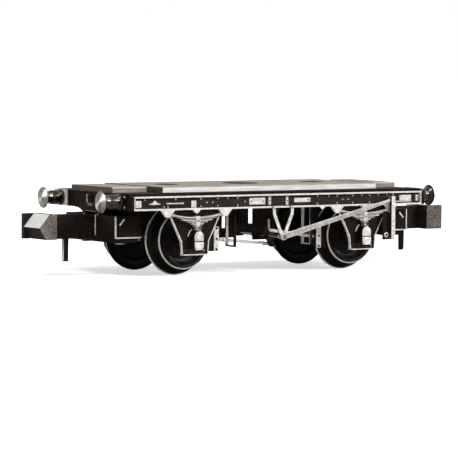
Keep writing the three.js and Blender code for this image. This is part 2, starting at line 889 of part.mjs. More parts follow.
// The lever's guard: two straps, one each side of the lever, bridged at the head and foot.
function guardShape() {
  const x0 = -guardAt - guardHalf;
  const x1 = -guardAt + guardHalf;
  const backFrom = halfWidth;
  const frontTo = leverOuter + guardClearance + guardStrap;
  const frontFrom = leverOuter + guardClearance;
  const guardTop = solebarBottom + guardRise;
  const guardBottom = solebarBottom - guardDrop;
  return join(
    block(x0, x1, backFrom, backFrom + guardStrap, guardBottom, guardTop),
    block(x0, x1, frontFrom, frontTo, guardBottom, guardTop),
    block(x0, x1, backFrom, frontTo, guardBottom, guardBottom + guardBridge),
    block(x0, x1, backFrom, frontTo, guardTop - guardBridge, guardTop),
  );
}

function shoeShape() {
  const faceRadius = treadRadius + shoeGap;
  const back = faceRadius + shoeThickness;
  const body = block(faceRadius - shoeThickness, back, -shoeWidth / 2, shoeWidth / 2,
    axleHeight - shoeHalfHeight, axleHeight + shoeHalfHeight);
  const wheelSpace = rodY(faceRadius, -shoeWidth, shoeWidth, 0, axleHeight, wheelFacets);
  const hangerAt = back - 2 * shoeHangerHalf;
  const hanger = block(hangerAt, back, -shoeHangerHalf / 2, shoeHangerHalf / 2, axleHeight, solebarTop);
  return cut(join(body, hanger), wheelSpace);
}

function pushRod(from, to, y) {
  return plateXZ(band([from, to], 2 * rodRadius), y - rodRadius, y + rodRadius);
}

function tumblerShape() {
  const y0 = -brakeAt - rodRadius - fitGap - tumblerThickness;
  const y1 = y0 + tumblerThickness;
  const plate = plateXZ(band([lowerPin, [0, shaftHeight], upperPin], 2 * tumblerHalf), y0, y1);
  const ends = [lowerPin, upperPin].map(([x, z]) => plateXZ(circle(x, z, tumblerHalf), y0, y1));
  const shaft = rodY(shaftRadius + fitGap, -halfWidth, 0, 0, shaftHeight);
  return cut(join(plate, ...ends), shaft);
}

// A U strap that hangs from the floor and passes under a push rod.
function safetyLoopShape() {
  const from = -brakeAt - loopHalf;
  const to = -brakeAt + loopHalf;
  const loopBottom = shaftHeight - loopUnderShaft;
  const outline = [
    [from, solebarTop],
    [from, loopBottom],
    [to, loopBottom],
    [to, solebarTop],
    [to - loopStrap, solebarTop],
    [to - loopStrap, loopBottom + loopStrap],
    [from + loopStrap, loopBottom + loopStrap],
    [from + loopStrap, solebarTop],
  ];
  return plateYZ(outline, -loopWidth / 2, loopWidth / 2);
}

function shaftHangerShape() {
  const bottom = shaftHeight - 2 * shaftRadius;
  const plate = block(-shaftHangerHalf, shaftHangerHalf, -shaftHangerThickness / 2, shaftHangerThickness / 2,
    bottom, solebarTop);
  return cut(plate, rodY(shaftRadius + fitGap, -shaftHangerThickness, shaftHangerThickness, 0, shaftHeight));
}

// The moulded plate behind the push rods: two hung panels and a bar, tied together over the
// shaft's level, with a slot in the left panel and a clear hole for the shaft in the right one.
function brakeFrameShape() {
  const y0 = -brakeFrameAt - brakeFrameThickness / 2;
  const y1 = -brakeFrameAt + brakeFrameThickness / 2;
  const [leftFrom, leftTo] = brakeFrameLeft;
  const [barFrom, barTo] = brakeFrameBar;
  const [rightFrom, rightTo] = brakeFrameRight;
  const [tieBottom, tieTop] = brakeFrameTie.map((rise) => shaftHeight + rise);
  const leftFoot = shaftHeight - brakeFrameLeftFoot;
  const rightFoot = shaftHeight - brakeFrameRightFoot;
  const outline = [
    [leftFrom, leftFoot],
    [leftTo, leftFoot],
    [leftTo, tieBottom],
    [rightFrom, tieBottom],
    [rightFrom, rightFoot],
    [rightTo, rightFoot],
    [rightTo, solebarTop],
    [rightFrom, solebarTop],
    [rightFrom, tieTop],
    [barTo, tieTop],
    [barTo, solebarTop],
    [barFrom, solebarTop],
    [barFrom, tieTop],
    [leftTo, tieTop],
    [leftTo, solebarTop],
    [leftFrom, solebarTop],
  ];
  const [slotFrom, slotTo] = brakeFrameSlot;
  const [slotBottom, slotTop] = brakeFrameSlotRise.map((rise) => shaftHeight + rise);
  const slot = block(slotFrom, slotTo, y0 - cutMargin, y1 + cutMargin, slotBottom, slotTop);
  const shaft = rodY(shaftRadius + fitGap, y0 - cutMargin, y1 + cutMargin, 0, shaftHeight);
  return cut(plateXZ(outline, y0, y1), slot, shaft);
}

function bearerShape() {
  return block(-bearerWidth / 2, bearerWidth / 2, -bearerOuter, bearerOuter,
    solebarTop - bearerDepth, solebarTop);
}

function addBrakeGear() {
  const hanger = vHangerShape();
  const lever = leverShape();
  const guard = guardShape();
  for (const side of [{ name: 'far', turn: 0 }, { name: 'near', turn: Math.PI }]) {
    addMesh(chassis, `v_hanger_${side.name}`, hanger, blackPlastic).rotation.z = side.turn;
    addMesh(chassis, `brake_lever_${side.name}`, lever, blackPlastic).rotation.z = side.turn;
    addMesh(chassis, `lever_guard_${side.name}`, guard, blackPlastic).rotation.z = side.turn;
  }
  addMesh(chassis, 'brake_cross_shaft', rodY(shaftRadius, -halfWidth, halfWidth, 0, shaftHeight), springSteel);
  addMesh(chassis, 'cross_shaft_hanger', shaftHangerShape(), blackPlastic);
  addMesh(chassis, 'brake_tumbler', tumblerShape(), blackPlastic);
  addMesh(chassis, 'brake_frame', brakeFrameShape(), blackPlastic);

  const shoe = shoeShape();
  const leftShoe = addMesh(chassis, 'brake_shoe_left', shoe, blackPlastic);
  leftShoe.position.set(-wheelbase / 2, -brakeAt, 0);
  const rightShoe = addMesh(chassis, 'brake_shoe_right', shoe, blackPlastic);
  rightShoe.position.set(wheelbase / 2, -brakeAt, 0);
  rightShoe.rotation.z = Math.PI;

  const rodHeightAtShoe = axleHeight - rodUnderAxle;
  const shoeBack = wheelbase / 2 - treadRadius - shoeGap - shoeThickness - fitGap;
  addMesh(chassis, 'push_rod_left', pushRod([-shoeBack, rodHeightAtShoe], lowerPin, -brakeAt), blackPlastic);
  addMesh(chassis, 'push_rod_right', pushRod(upperPin, [shoeBack, rodHeightAtShoe], -brakeAt), blackPlastic);
  loopSpots.forEach((x, i) => {
    addMesh(chassis, `safety_loop_${['left', 'right'][i]}`, safetyLoopShape(), blackPlastic).position.x = x;
  });
  bearerSpots.forEach((x, i) => {
    addMesh(chassis, `cross_bearer_${['left', 'right'][i]}`, bearerShape(), blackPlastic).position.x = x;
  });
}

addDeck();
addSolebars();
addRunningGear();
addEnds();
addBrakeGear();

export default chassis;
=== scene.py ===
import math

import bmesh
import bpy
from mathutils import Matrix, Vector


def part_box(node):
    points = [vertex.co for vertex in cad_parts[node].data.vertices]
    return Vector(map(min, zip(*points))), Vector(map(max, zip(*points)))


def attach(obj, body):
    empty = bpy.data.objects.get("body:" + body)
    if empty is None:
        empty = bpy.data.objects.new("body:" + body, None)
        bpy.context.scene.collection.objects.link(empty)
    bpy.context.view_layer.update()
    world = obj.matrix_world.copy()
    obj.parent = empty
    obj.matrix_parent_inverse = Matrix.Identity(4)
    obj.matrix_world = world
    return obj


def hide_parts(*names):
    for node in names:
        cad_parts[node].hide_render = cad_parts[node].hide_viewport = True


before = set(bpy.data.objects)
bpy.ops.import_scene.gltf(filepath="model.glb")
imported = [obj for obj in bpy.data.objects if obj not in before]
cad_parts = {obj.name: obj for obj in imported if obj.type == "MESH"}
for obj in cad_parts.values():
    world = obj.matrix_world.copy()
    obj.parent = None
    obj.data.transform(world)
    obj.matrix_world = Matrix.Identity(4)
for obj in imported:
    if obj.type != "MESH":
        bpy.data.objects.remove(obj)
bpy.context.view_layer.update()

MM = 0.001
BASE, EDGE, MARK, FOURTH, FIFTH = range(5)  # places in a piece's list of finishes
SINK = 0.02  # how far an added detail is let into its surface
SQUARE_ON = 0.9  # a normal's share of an axis that its face looks along
HALF_TURN = Matrix.Rotation(math.pi, 4, "Z")
LENGTHWISE, ACROSS, UP = Vector((1, 0, 0)), Vector((0, 1, 0)), Vector((0, 0, 1))
NEARWARD, LEFTWARD = (0, -1, 0), (-1, 0, 0)
SIDES = {"near": Matrix.Identity(4), "far": HALF_TURN}
ENDS = {"left": Matrix.Identity(4), "right": HALF_TURN}


def low_high(node):
    """A CAD node's lowest and highest corner in millimetres."""
    low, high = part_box(node)
    return low / MM, high / MM


def centre_of(node):
    """The middle of a CAD node's box in millimetres."""
    low, high = low_high(node)
    return (low + high) / 2


AXLE_HEIGHT = centre_of("axle_left").z
SHAFT_HEIGHT = centre_of("brake_cross_shaft").z
BUFFER_SPOT = centre_of("buffer_head_left_far")
END_FACE = low_high("headstock_left")[0].x
SOLEBAR_FOOT = low_high("headstock_left")[1].z - 1.42  # the underside of the solebars' channels
WEB_FACE = -7.7  # the near solebar's web
ARM_FOOT = 3.75  # the underside of the coupler's arm


# ---- Materials ----


def colour(red, green, blue):
    """A colour from its display values, 0 to 255."""
    def linear(value):
        value /= 255
        return value / 12.92 if value < 0.04045 else ((value + 0.055) / 1.055) ** 2.4
    return (linear(red), linear(green), linear(blue), 1)


def noise(tree, place, size, stretch=(1, 1, 1), detail=4):
    """Noise whose grains are about this many millimetres across, longer where stretch is larger."""
    mapping = tree.nodes.new("ShaderNodeMapping")
    mapping.inputs["Scale"].default_value = [1 / (size * MM * along) for along in stretch]
    tree.links.new(place, mapping.inputs["Vector"])
    texture = tree.nodes.new("ShaderNodeTexNoise")
    texture.inputs["Scale"].default_value = 1
    texture.inputs["Detail"].default_value = detail
    tree.links.new(mapping.outputs["Vector"], texture.inputs["Vector"])
    return texture.outputs["Fac"]


def ramp(tree, factor, stops):
    """A colour ramp from (position, colour) stops."""
    node = tree.nodes.new("ShaderNodeValToRGB")
    elements = node.color_ramp.elements
    while len(elements) < len(stops):
        elements.new(0.5)
    for element, (position, value) in zip(elements, stops):
        element.position = position
        element.color = value
    tree.links.new(factor, node.inputs["Fac"])
    return node.outputs["Color"]


def mixed(tree, factor, first, second):
    """One colour fading into another."""
    node = tree.nodes.new("ShaderNodeMix")
    node.data_type = "RGBA"
    tree.links.new(factor, node.inputs["Factor"])
    tree.links.new(first, node.inputs["A"])
    tree.links.new(second, node.inputs["B"])
    return node.outputs["Result"]


def ranged(tree, factor, low, high):
    """The middle of a noise's range stretched over these values."""
    node = tree.nodes.new("ShaderNodeMapRange")
    node.inputs["From Min"].default_value = 0.3
    node.inputs["From Max"].default_value = 0.7
    node.inputs["To Min"].default_value = low
    node.inputs["To Max"].default_value = high
    tree.links.new(factor, node.inputs["Value"])
    return node.outputs["Result"]


def finish(name, tones, grain, patches, rough, metallic=0.0, bump=0.2, bump_size=0.015,
           stretch=(1, 1, 1), specular=0.5, turned=None):
    """A surface of two fine-grained tones that drift between (dark, light) and (worn dark, worn light)
    over larger patches, with its roughness and relief from the same grain. turned is the axis that
    lathe marks run round."""
    material = bpy.data.materials.new(name)
    material.use_nodes = True
    tree = material.node_tree
    shader = tree.nodes["Principled BSDF"]
    place = tree.nodes.new("ShaderNodeTexCoord").outputs["Object"]
    fine = noise(tree, place, grain, stretch)
    broad = noise(tree, place, patches, stretch, detail=2)
    dark_at, light_at = 0.38, 0.66
    first = ramp(tree, fine, [(dark_at, colour(*tones[0])), (light_at, colour(*tones[1]))])
    second = ramp(tree, fine, [(dark_at, colour(*tones[2])), (light_at, colour(*tones[3]))])
    share = ranged(tree, broad, 0, 1)
    tree.links.new(mixed(tree, share, first, second), shader.inputs["Base Color"])
    tree.links.new(ranged(tree, broad, rough[0], rough[1]), shader.inputs["Roughness"])
    shader.inputs["Metallic"].default_value = metallic
    shader.inputs["Specular IOR Level"].default_value = specular
    relief = tree.nodes.new("ShaderNodeBump")
    relief.inputs["Strength"].default_value = bump
    relief.inputs["Distance"].default_value = bump_size * MM
    tree.links.new(noise(tree, place, grain / 2, stretch), relief.inputs["Height"])
    tree.links.new(relief.outputs["Normal"], shader.inputs["Normal"])
    if turned:
        tangent = tree.nodes.new("ShaderNodeTangent")
        tangent.direction_type = "RADIAL"
        tangent.axis = turned
        shader.inputs["Anisotropic"].default_value = 0.9
        shader.inputs["Anisotropic Rotation"].default_value = 0.25
        tree.links.new(tangent.outputs["Tangent"], shader.inputs["Tangent"])
    return material


moulded_black = finish(
    "moulded_black", [(9, 6, 5), (25, 20, 17), (14, 11, 9), (44, 37, 32)],
    grain=0.14, patches=1.6, rough=(0.5, 0.66), specular=0.03, bump_size=0.02)
solebar_black = finish(
    "solebar_black", [(15, 12, 10), (46, 39, 34), (24, 20, 17), (66, 57, 51)],
    grain=0.14, patches=2.2, rough=(0.5, 0.66), specular=0.05, bump_size=0.02)
coupler_black = finish(
    "coupler_black", [(12, 9, 8), (34, 28, 24), (20, 16, 14), (52, 44, 39)],
    grain=0.16, patches=1.4, rough=(0.46, 0.6), specular=0.05, bump_size=0.02)
wheel_black = finish(
    "wheel_black", [(8, 6, 5), (20, 16, 14), (12, 10, 8), (34, 28, 25)],
    grain=0.16, patches=1.8, rough=(0.36, 0.46), specular=0.06, bump=0.12, bump_size=0.01)
wheel_gloss = finish(
    "wheel_gloss", [(12, 9, 8), (26, 21, 18), (16, 13, 11), (40, 34, 30)],
    grain=0.16, patches=1.8, rough=(0.2, 0.28), specular=0.8, bump=0.04, bump_size=0.004)
# Mid grey: rubbed wear on nuts and pins, and painted light on the coupler nose's near facet.
rubbed_and_lit_grey = finish(
    "rubbed_and_lit_grey", [(76, 67, 61), (120, 111, 103), (90, 81, 74), (138, 129, 121)],
    grain=0.16, patches=1.2, rough=(0.4, 0.55), specular=0.2)
# Pale finish: dry-brushed paint, and a painted highlight where edges, fronts and tops of black parts are made
# pale as if catching light.
drybrush_and_highlight = finish(
    "drybrush_and_highlight", [(174, 169, 163), (216, 211, 206), (200, 195, 189), (230, 226, 221)],
    grain=0.3, patches=1.1, rough=(0.4, 0.55), specular=0.2, bump=0.15, bump_size=0.012)
# Painted highlight: the coupler nose's top facet made near white as if lit from above.
painted_highlight_pale = finish(
    "painted_highlight_pale", [(226, 222, 217), (246, 244, 241), (238, 235, 231), (250, 249, 247)],
    grain=0.3, patches=1.1, rough=(0.4, 0.5), specular=0.25, bump=0.12, bump_size=0.012)
# Light grey standing in for light on black parts: a painted highlight on the lever, the jaws and alternate
# spring leaves.
grey_paint_and_highlight = finish(
    "grey_paint_and_highlight", [(116, 110, 104), (166, 160, 154), (148, 142, 136), (194, 189, 184)],
    grain=0.22, patches=0.9, rough=(0.42, 0.6), specular=0.2)
cast_top = finish(
    "cast_top", [(126, 117, 106), (156, 148, 137), (140, 132, 121), (170, 162, 152)],
    grain=0.35, patches=3.0, rough=(0.6, 0.7), specular=0.06, bump_size=0.012,
    stretch=(5, 1, 1))
# Near white: milled metal, and a painted highlight on the weight's long sides and bevels.
milled_highlight_edge = finish(
    "milled_highlight_edge", [(214, 210, 204), (238, 235, 231), (226, 222, 217), (247, 245, 243)],
    grain=0.3, patches=2.5, rough=(0.4, 0.5), specular=0.25, bump=0.12, bump_size=0.01,
    stretch=(7, 1, 1))
cast_side = finish(
    "cast_side", [(128, 119, 109), (160, 151, 141), (144, 135, 125), (178, 170, 161)],
    grain=0.3, patches=2.5, rough=(0.5, 0.6), specular=0.15, bump_size=0.012,
    stretch=(7, 1, 1))
# Painted shade: the bars' end faces made darker than their tops as if turned from the light.
painted_shade_end = finish(
    "painted_shade_end", [(56, 49, 41), (82, 74, 64), (68, 60, 52), (98, 89, 79)],
    grain=0.25, patches=1.5, rough=(0.55, 0.66), specular=0.12)
# Painted sheen: grey on the coupler cheek's outer face, standing in for its reflection.
cheek_sheen_grey = finish(
    "cheek_sheen_grey", [(44, 38, 33), (92, 83, 75), (72, 64, 57), (118, 108, 99)],
    grain=0.18, patches=1.6, rough=(0.46, 0.6), specular=0.14)
turned_bright = finish(
    "turned_bright", [(108, 104, 100), (136, 132, 127), (120, 116, 111), (150, 146, 141)],
    grain=0.5, patches=1.0, rough=(0.34, 0.38), metallic=1.0, bump=0.02,
    bump_size=0.002, turned="X")
turned_dark = finish(
    "turned_dark", [(46, 42, 39), (64, 59, 55), (54, 50, 46), (72, 67, 62)],
    grain=0.5, patches=0.8, rough=(0.2, 0.26), metallic=1.0, bump=0.02,
    bump_size=0.002)
axle_steel = finish(
    "axle_steel", [(150, 148, 145), (188, 186, 183), (166, 164, 161), (205, 203, 200)],
    grain=0.3, patches=1.0, rough=(0.22, 0.34), metallic=1.0, bump=0.08, bump_size=0.006)
spring_wire = finish(
    "spring_wire", [(120, 117, 113), (158, 155, 151), (136, 133, 129), (176, 173, 169)],
    grain=0.2, patches=0.7, rough=(0.26, 0.38), metallic=1.0, bump=0.08, bump_size=0.006)

# ---- Shapes, in millimetres ----


def from_node(node):
    """A CAD node's shape, welded, with each flat face whole."""
    bm = bmesh.new()
    bm.from_mesh(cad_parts[node].data)
    bmesh.ops.scale(bm, vec=(1 / MM,) * 3, verts=bm.verts)
    bmesh.ops.remove_doubles(bm, verts=bm.verts, dist=0.002)
    bmesh.ops.dissolve_limit(bm, angle_limit=math.radians(1), verts=bm.verts, edges=bm.edges)
    return bm


def soften(bm, width, least=40, segments=2, edge_finish=EDGE):
    """Rounds every outward edge sharper than least degrees and gives the rounding its own finish."""
    sharp = [edge for edge in bm.edges if len(edge.link_faces) == 2 and edge.is_convex
             and edge.calc_face_angle() > math.radians(least)]
    # Where a piece keeps EDGE for its roundings, that place holds a pale finish: a painted highlight along
    # the edges.
    bmesh.ops.bevel(bm, geom=sharp, offset=width, offset_type="OFFSET", segments=segments,
                    profile=0.5, affect="EDGES", clamp_overlap=True, material=edge_finish)


def paint(bm, value, where):
    """Gives a finish to the faces whose (normal, centre) pass the test."""
    bm.normal_update()
    for face in bm.faces:
        if where(face.normal, face.calc_center_median()):
            face.material_index = value


def add_plate(bm, outline, axis, start, end, value=BASE):
    """A closed outline made solid along an axis. The outline's pairs are the other two axes, in order."""
    index = "XYZ".index(axis)

    def corner(pair, along):
        values = list(pair)
        values.insert(index, along)
        return values

    lower = [bm.verts.new(corner(pair, start)) for pair in outline]
    upper = [bm.verts.new(corner(pair, end)) for pair in outline]
    faces = [bm.faces.new(lower), bm.faces.new(upper[::-1])]
    for k in range(len(outline)):
        after = (k + 1) % len(outline)
        faces.append(bm.faces.new((lower[k], lower[after], upper[after], upper[k])))
    for face in faces:
        face.material_index = value


def merge(bm, other):
    """Adds another shape to this one and frees it."""
    mesh = bpy.data.meshes.new("scratch")
    other.to_mesh(mesh)
    other.free()
    bm.from_mesh(mesh)
    bpy.data.meshes.remove(mesh)


def add_box(bm, x, y, z, value=BASE):
    """A block over the spans x, y and z, with its edges chamfered."""
    outline = [(x[0], z[0]), (x[1], z[0]), (x[1], z[1]), (x[0], z[1])]
    made = bmesh.new()
    add_plate(made, outline, "Y", y[0], y[1], value)
    thinnest = min(abs(span[1] - span[0]) for span in (x, y, z))
    chamfer = min(0.03, thinnest / 5)
    bmesh.ops.recalc_face_normals(made, faces=made.faces)
    soften(made, chamfer, segments=1, edge_finish=value)
    merge(bm, made)


def one_finish(points, value):
    """Profile points for add_turned that all have the same finish."""
    return [(*point, value) for point in points]


def add_turned(bm, profile, centre, axis, segments=64):
    """A turned shape from (radius, along, finish) points; each finish covers the band up to its point."""
    direction = Vector(axis).normalized()
    side = direction.orthogonal().normalized()
    other = direction.cross(side)
    rings = []
    for radius, along, _ in profile:
        middle = Vector(centre) + direction * along
        if radius < 1e-6:
            rings.append([bm.verts.new(middle)])
            continue
        angles = [2 * math.pi * k / segments for k in range(segments)]
        rings.append([bm.verts.new(middle + (side * math.cos(a) + other * math.sin(a)) * radius)
                      for a in angles])
    for first, second, (_, _, value) in zip(rings, rings[1:], profile[1:]):
        for k in range(segments):
            after = (k + 1) % segments
            corners = [first[k % len(first)], first[after % len(first)],
                       second[after % len(second)], second[k % len(second)]]
            face = bm.faces.new(list(dict.fromkeys(corners)))
            face.material_index = value


def add_rod(bm, start, end, radius, value=BASE, segments=24):
    """A round rod with chamfered ends."""
    run = Vector(end) - Vector(start)
    chamfer = radius * 0.2
    profile = [(0, 0), (radius - chamfer, 0), (radius, chamfer), (radius, run.length - chamfer),
               (radius - chamfer, run.length), (0, run.length)]
    add_turned(bm, one_finish(profile, value), start, run, segments)


def add_rivet(bm, at, direction, radius=0.085, height=0.07, value=BASE):
    """A snap-head rivet that sits a little way into its plate."""
    sink = 0.03
    profile = [(0, -sink), (radius, -sink), (radius, 0.25 * height), (0.8 * radius, 0.65 * height),
               (0.45 * radius, 0.92 * height), (0, height)]
    add_turned(bm, one_finish(profile, value), at, direction, 12)


def add_nut(bm, at, direction, radius=0.13, height=0.1, value=BASE):
    """A hexagon nut with the bolt's end standing out of it."""
    sink = 0.03
    nut = [(0, -sink), (radius, -sink), (radius, 0.75 * height), (0.8 * radius, height), (0, height)]
    bolt = [(0, 0), (0.45 * radius, 0), (0.45 * radius, 1.3 * height), (0.3 * radius, 1.5 * height),
            (0, 1.5 * height)]
    add_turned(bm, one_finish(nut, value), at, direction, 6)
    add_turned(bm, one_finish(bolt, value), at, direction, 12)


def band(points, width):
    """The outline of a band of this width along a line of points."""
    normals = []
    for k in range(len(points)):
        before = points[max(k - 1, 0)]
        after = points[min(k + 1, len(points) - 1)]
        run = math.hypot(after[0] - before[0], after[1] - before[1])
        normals.append((-(after[1] - before[1]) / run, (after[0] - before[0]) / run))
    left = [(a + u * width / 2, b + v * width / 2) for (a, b), (u, v) in zip(points, normals)]
    right = [(a - u * width / 2, b - v * width / 2) for (a, b), (u, v) in zip(points, normals)]
    return left + right[::-1]


def linked(name, data):
    """A new object in the scene that holds this mesh, lamp or camera."""
    obj = bpy.data.objects.new(name, data)
    bpy.context.scene.collection.objects.link(obj)
    return obj


def part(name, bm, finishes, body, slot, *stands_for, turn=None, flat=38):
    """Makes the shape an object that rides on a body and stands for its CAD nodes."""
    if turn:
        bmesh.ops.transform(bm, matrix=turn, verts=bm.verts)
    bmesh.ops.remove_doubles(bm, verts=bm.verts, dist=0.0005)
    bmesh.ops.recalc_face_normals(bm, faces=bm.faces)
    bmesh.ops.scale(bm, vec=(MM, MM, MM), verts=bm.verts)
    mesh = bpy.data.meshes.new(name)
    bm.to_mesh(mesh)
    bm.free()
    for material in finishes:
        mesh.materials.append(material)
    mesh.shade_smooth()
    mesh.set_sharp_from_angle(angle=math.radians(flat))
    obj = linked(name, mesh)
    normals = obj.modifiers.new("flat_faces", "WEIGHTED_NORMAL")
    normals.keep_sharp = True
    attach(obj, body)
    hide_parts(*stands_for)


def moulded(name, bm, finishes, node, turn=None):
    """A moulded piece of the chassis."""
    part(name, bm, finishes, "chassis", "frame_plastic", node, turn=turn)


# ---- Deck: ballast weight, end blocks and floor ----


def deck_bar(node):
    """A cast bar: grey top, bevels milled and pale as a painted highlight, ends darker as painted shade and
    hole walls black as painted shade. The weight's sides are milled and pale as a painted highlight.
    """
    low, high = low_high(node)
    side_zone, end_zone, past_end = 0.2, 0.05, 0.5
    bm = from_node(node)
    soften(bm, 0.035)
    # Painted highlight: the weight's long sides take the near-white finish (the end blocks' sides take
    # cast_side).
    paint(bm, FIFTH, lambda normal, centre: abs(normal.y) > SQUARE_ON and abs(centre.y) > high.y - side_zone)
    # Painted shade: the end faces are darker.
    paint(bm, MARK, lambda normal, centre: abs(normal.x) > SQUARE_ON
          and (centre.x < low.x + end_zone or centre.x > high.x - end_zone))
    # Painted shade: the walls of the holes in the middle of the bar are black.
    paint(bm, FOURTH, lambda normal, centre: abs(centre.y) < high.y / 2 and abs(normal.z) < SQUARE_ON
          and low.x + past_end < centre.x < high.x - past_end)
    side_finish = milled_highlight_edge if node == "ballast_weight" else cast_side
    part(f"{node}_cast", bm, [cast_top, milled_highlight_edge, painted_shade_end, moulded_black, side_finish], "chassis",
         "cast_ballast", node)


def floor_plate():
    """The moulded floor, with a row of shallow raised planks on each side of the weight."""
    low, high = low_high("floor")
    slab_side = low_high("ballast_weight")[1].y
    pitch, half_gap, margin, thick = 1.6, 0.06, 0.15, 0.03
    count = int((high.x - low.x) / pitch)
    start = (low.x + high.x - count * pitch) / 2
    bm = from_node("floor")
    soften(bm, 0.03, edge_finish=BASE)
    for k in range(count):
        x = (start + k * pitch + half_gap, start + (k + 1) * pitch - half_gap)
        for sign in (-1, 1):
            y = sorted((sign * (slab_side + margin), sign * (high.y - margin)))
            add_box(bm, x, y, (high.z - SINK, high.z + thick))
    moulded("floor_moulded", bm, [moulded_black], "floor")


# ---- Solebars ----


def add_label(bm, x, z, rivets=()):
    """A bare raised label plate on the web, with rivets at the given places along it."""
    front = WEB_FACE - 0.09
    add_box(bm, x, (front, WEB_FACE + SINK), z, EDGE)
    for spot in rivets:
        add_rivet(bm, (spot, front, (z[0] + z[1]) / 2), NEARWARD, 0.07, 0.05, MARK)


def solebar(side):
    """A channel with flange edges made pale as a painted highlight, its web dressed with pale rivets,
    brackets and bare plates.
    """
    low, high = low_high("solebar_near")
    flange_lip, bracket_top = 0.06, 6.7
    bm = from_node("solebar_near")
    soften(bm, 0.03)
    # Painted highlight: the flange's outer lip and the downward faces low on the channel are made pale.
    paint(bm, EDGE, lambda normal, centre: normal.y < -0.8 and centre.y < low.y + flange_lip)
    paint(bm, EDGE, lambda normal, centre: normal.z < -0.3 and centre.z < bracket_top)
    upper, middle, lower = 7.87, 7.49, 7.12
    paired = (-9.6, -7.58, -5.2, 4.6, 7.06, 9.05, 11.2, 13.4)
    rivets = [(x, z) for x in paired for z in (upper, lower)]
    rivets += [(x, middle) for x in (-8.89, -8.23, -4.32, 7.76, 8.46)]
    rivets += [(x, lower) for x in (-13.97, -13.5)]
    rivets += [(x, upper) for x in (6.0, 10.2, 12.3, 14.2, -6.4, -12.6, -16.2)]
    for x, z in rivets:
        add_rivet(bm, (x, WEB_FACE, z), NEARWARD, value=EDGE)
    labels = (
        ((-17.3, -16.65), (7.08, 7.8), ()),
        ((-10.8, -10.2), (6.99, 7.72), ()),
        ((-3.84, -1.9), (7.16, 7.86), (-3.62, -2.12)),
        ((-1.5, -1.18), (7.1, 7.96), (-1.34,)),
        ((0.62, 0.94), (7.06, 7.92), (0.78,)),
        ((1.68, 3.68), (7.3, 7.76), (3.4,)),
        ((15.0, 16.5), (7.22, 7.82), ()),
        ((17.1, 17.5), (7.16, 7.82), ()),
    )
    for x, z, spots in labels:
        add_label(bm, x, z, spots)
    shelf = [(13.95, 7.02), (14.5, 7.02), (14.5, 7.1), (16.5, 7.1), (16.5, 7.2), (14.4, 7.2),
             (14.4, 7.12), (13.95, 7.12)]
    bracket = [(-15.75, 7.38), (-14.5, 7.38), (-14.5, 7.5), (-14.75, 7.5), (-15.1, 7.8),
               (-15.45, 7.5), (-15.75, 7.5)]
    for outline, thick in ((shelf, 0.12), (bracket, 0.14)):
        add_plate(bm, outline, "Y", WEB_FACE - thick, WEB_FACE + SINK, EDGE)
    handle, handle_height, handle_y = (-13.65, -11.8), 7.46, WEB_FACE - 0.1
    add_rod(bm, (handle[0], handle_y, handle_height), (handle[1], handle_y, handle_height), 0.07, EDGE, 12)
    for x in handle:
        add_rivet(bm, (x, WEB_FACE, handle_height), NEARWARD, 0.13, 0.2, EDGE)
    cap, inset, cap_height = 0.12, 0.01, (SOLEBAR_FOOT + SINK, high.z - SINK)
    for x in (low.x + inset, high.x - (cap + inset)):
        add_box(bm, (x, x + cap), (low.y + inset, WEB_FACE + SINK), cap_height, EDGE)
    moulded(f"solebar_{side}_channel", bm, [solebar_black, drybrush_and_highlight, moulded_black],
            f"solebar_{side}", turn=SIDES[side])


# ---- Axle guards, axleboxes and springs ----


def arch(centre_x, centre_z, radius_x, radius_z, start, end, steps=14):
    """Points on part of an ellipse, angles in degrees from +X towards +Z."""
    angles = [math.radians(start + (end - start) * k / steps) for k in range(steps + 1)]
    return [(centre_x + radius_x * math.cos(a), centre_z + radius_z * math.sin(a)) for a in angles]


def matching(near_node, end, side):
    """The CAD node that a near-side shape stands for once it has been turned to this side."""
    if side == "near":
        return near_node
    other = {"left": "right", "right": "left"}[end]
    return near_node.replace(f"_{end}_near", f"_{other}_far")


def axle_guard(end, side):
    """A W-iron with edges made pale as a painted highlight, a horn rib over its axlebox, rivets and a tie bar
    across its foot; the leg strips, ribs and tie bar are pale as a painted highlight too.
    """
    node = f"w_iron_{end}_near"
    low, high = low_high(node)
    middle = (low.x + high.x) / 2
    half = (high.x - low.x) / 2
    face, foot = low.y, low.z
    black_top = 0.4
    bm = from_node(node)
    soften(bm, 0.045)
    # Painted highlight: the legs' side faces below the black top are made pale.
    paint(bm, EDGE, lambda normal, centre: abs(normal.y) < 0.6 and centre.z < high.z - black_top
          and abs(normal.x) > 0.3)
    rib_rise, rib_radius_x, rib_radius_z, rib_width, rib_stand = 0.35, 0.86, 0.95, 0.07, 0.1
    for start, stop in ((172, 118), (62, 40)):
        rib = arch(middle, AXLE_HEIGHT + rib_rise, rib_radius_x, rib_radius_z, start, stop)
        add_plate(bm, band(rib, rib_width), "Y", face - rib_stand, face + SINK, EDGE)
    head_inset, head_drop, knee_inset = 0.32, 0.75, half * 0.49
    strip, strip_stand = 0.1, 0.06
    for sign in (-1, 1):
        leg = [(middle + sign * (half - inset), z) for inset, z in
               ((head_inset, high.z - head_drop), (knee_inset, AXLE_HEIGHT), (knee_inset + 0.1, foot + 0.1))]
        add_plate(bm, band(leg, strip), "Y", face - strip_stand, face + SINK, EDGE)
    tie_inset, tie = 1.72, 0.12
    add_box(bm, (low.x + tie_inset, high.x - tie_inset), (face - tie, face + SINK), (foot, foot + tie), EDGE)
    rivet_reach, leg_slope = 2.72, 0.47
    for sign in (-1, 1):
        for drop in (0.3, 0.75):
            at = (middle + sign * (rivet_reach - drop * leg_slope), face, high.z - drop)
            add_rivet(bm, at, NEARWARD, 0.07)
        add_nut(bm, (middle + sign * 1.35, face, foot + 0.34), NEARWARD, 0.1, 0.08)
    moulded(f"w_iron_{end}_{side}_plate", bm, [moulded_black, drybrush_and_highlight],
            matching(node, end, side), turn=SIDES[side])


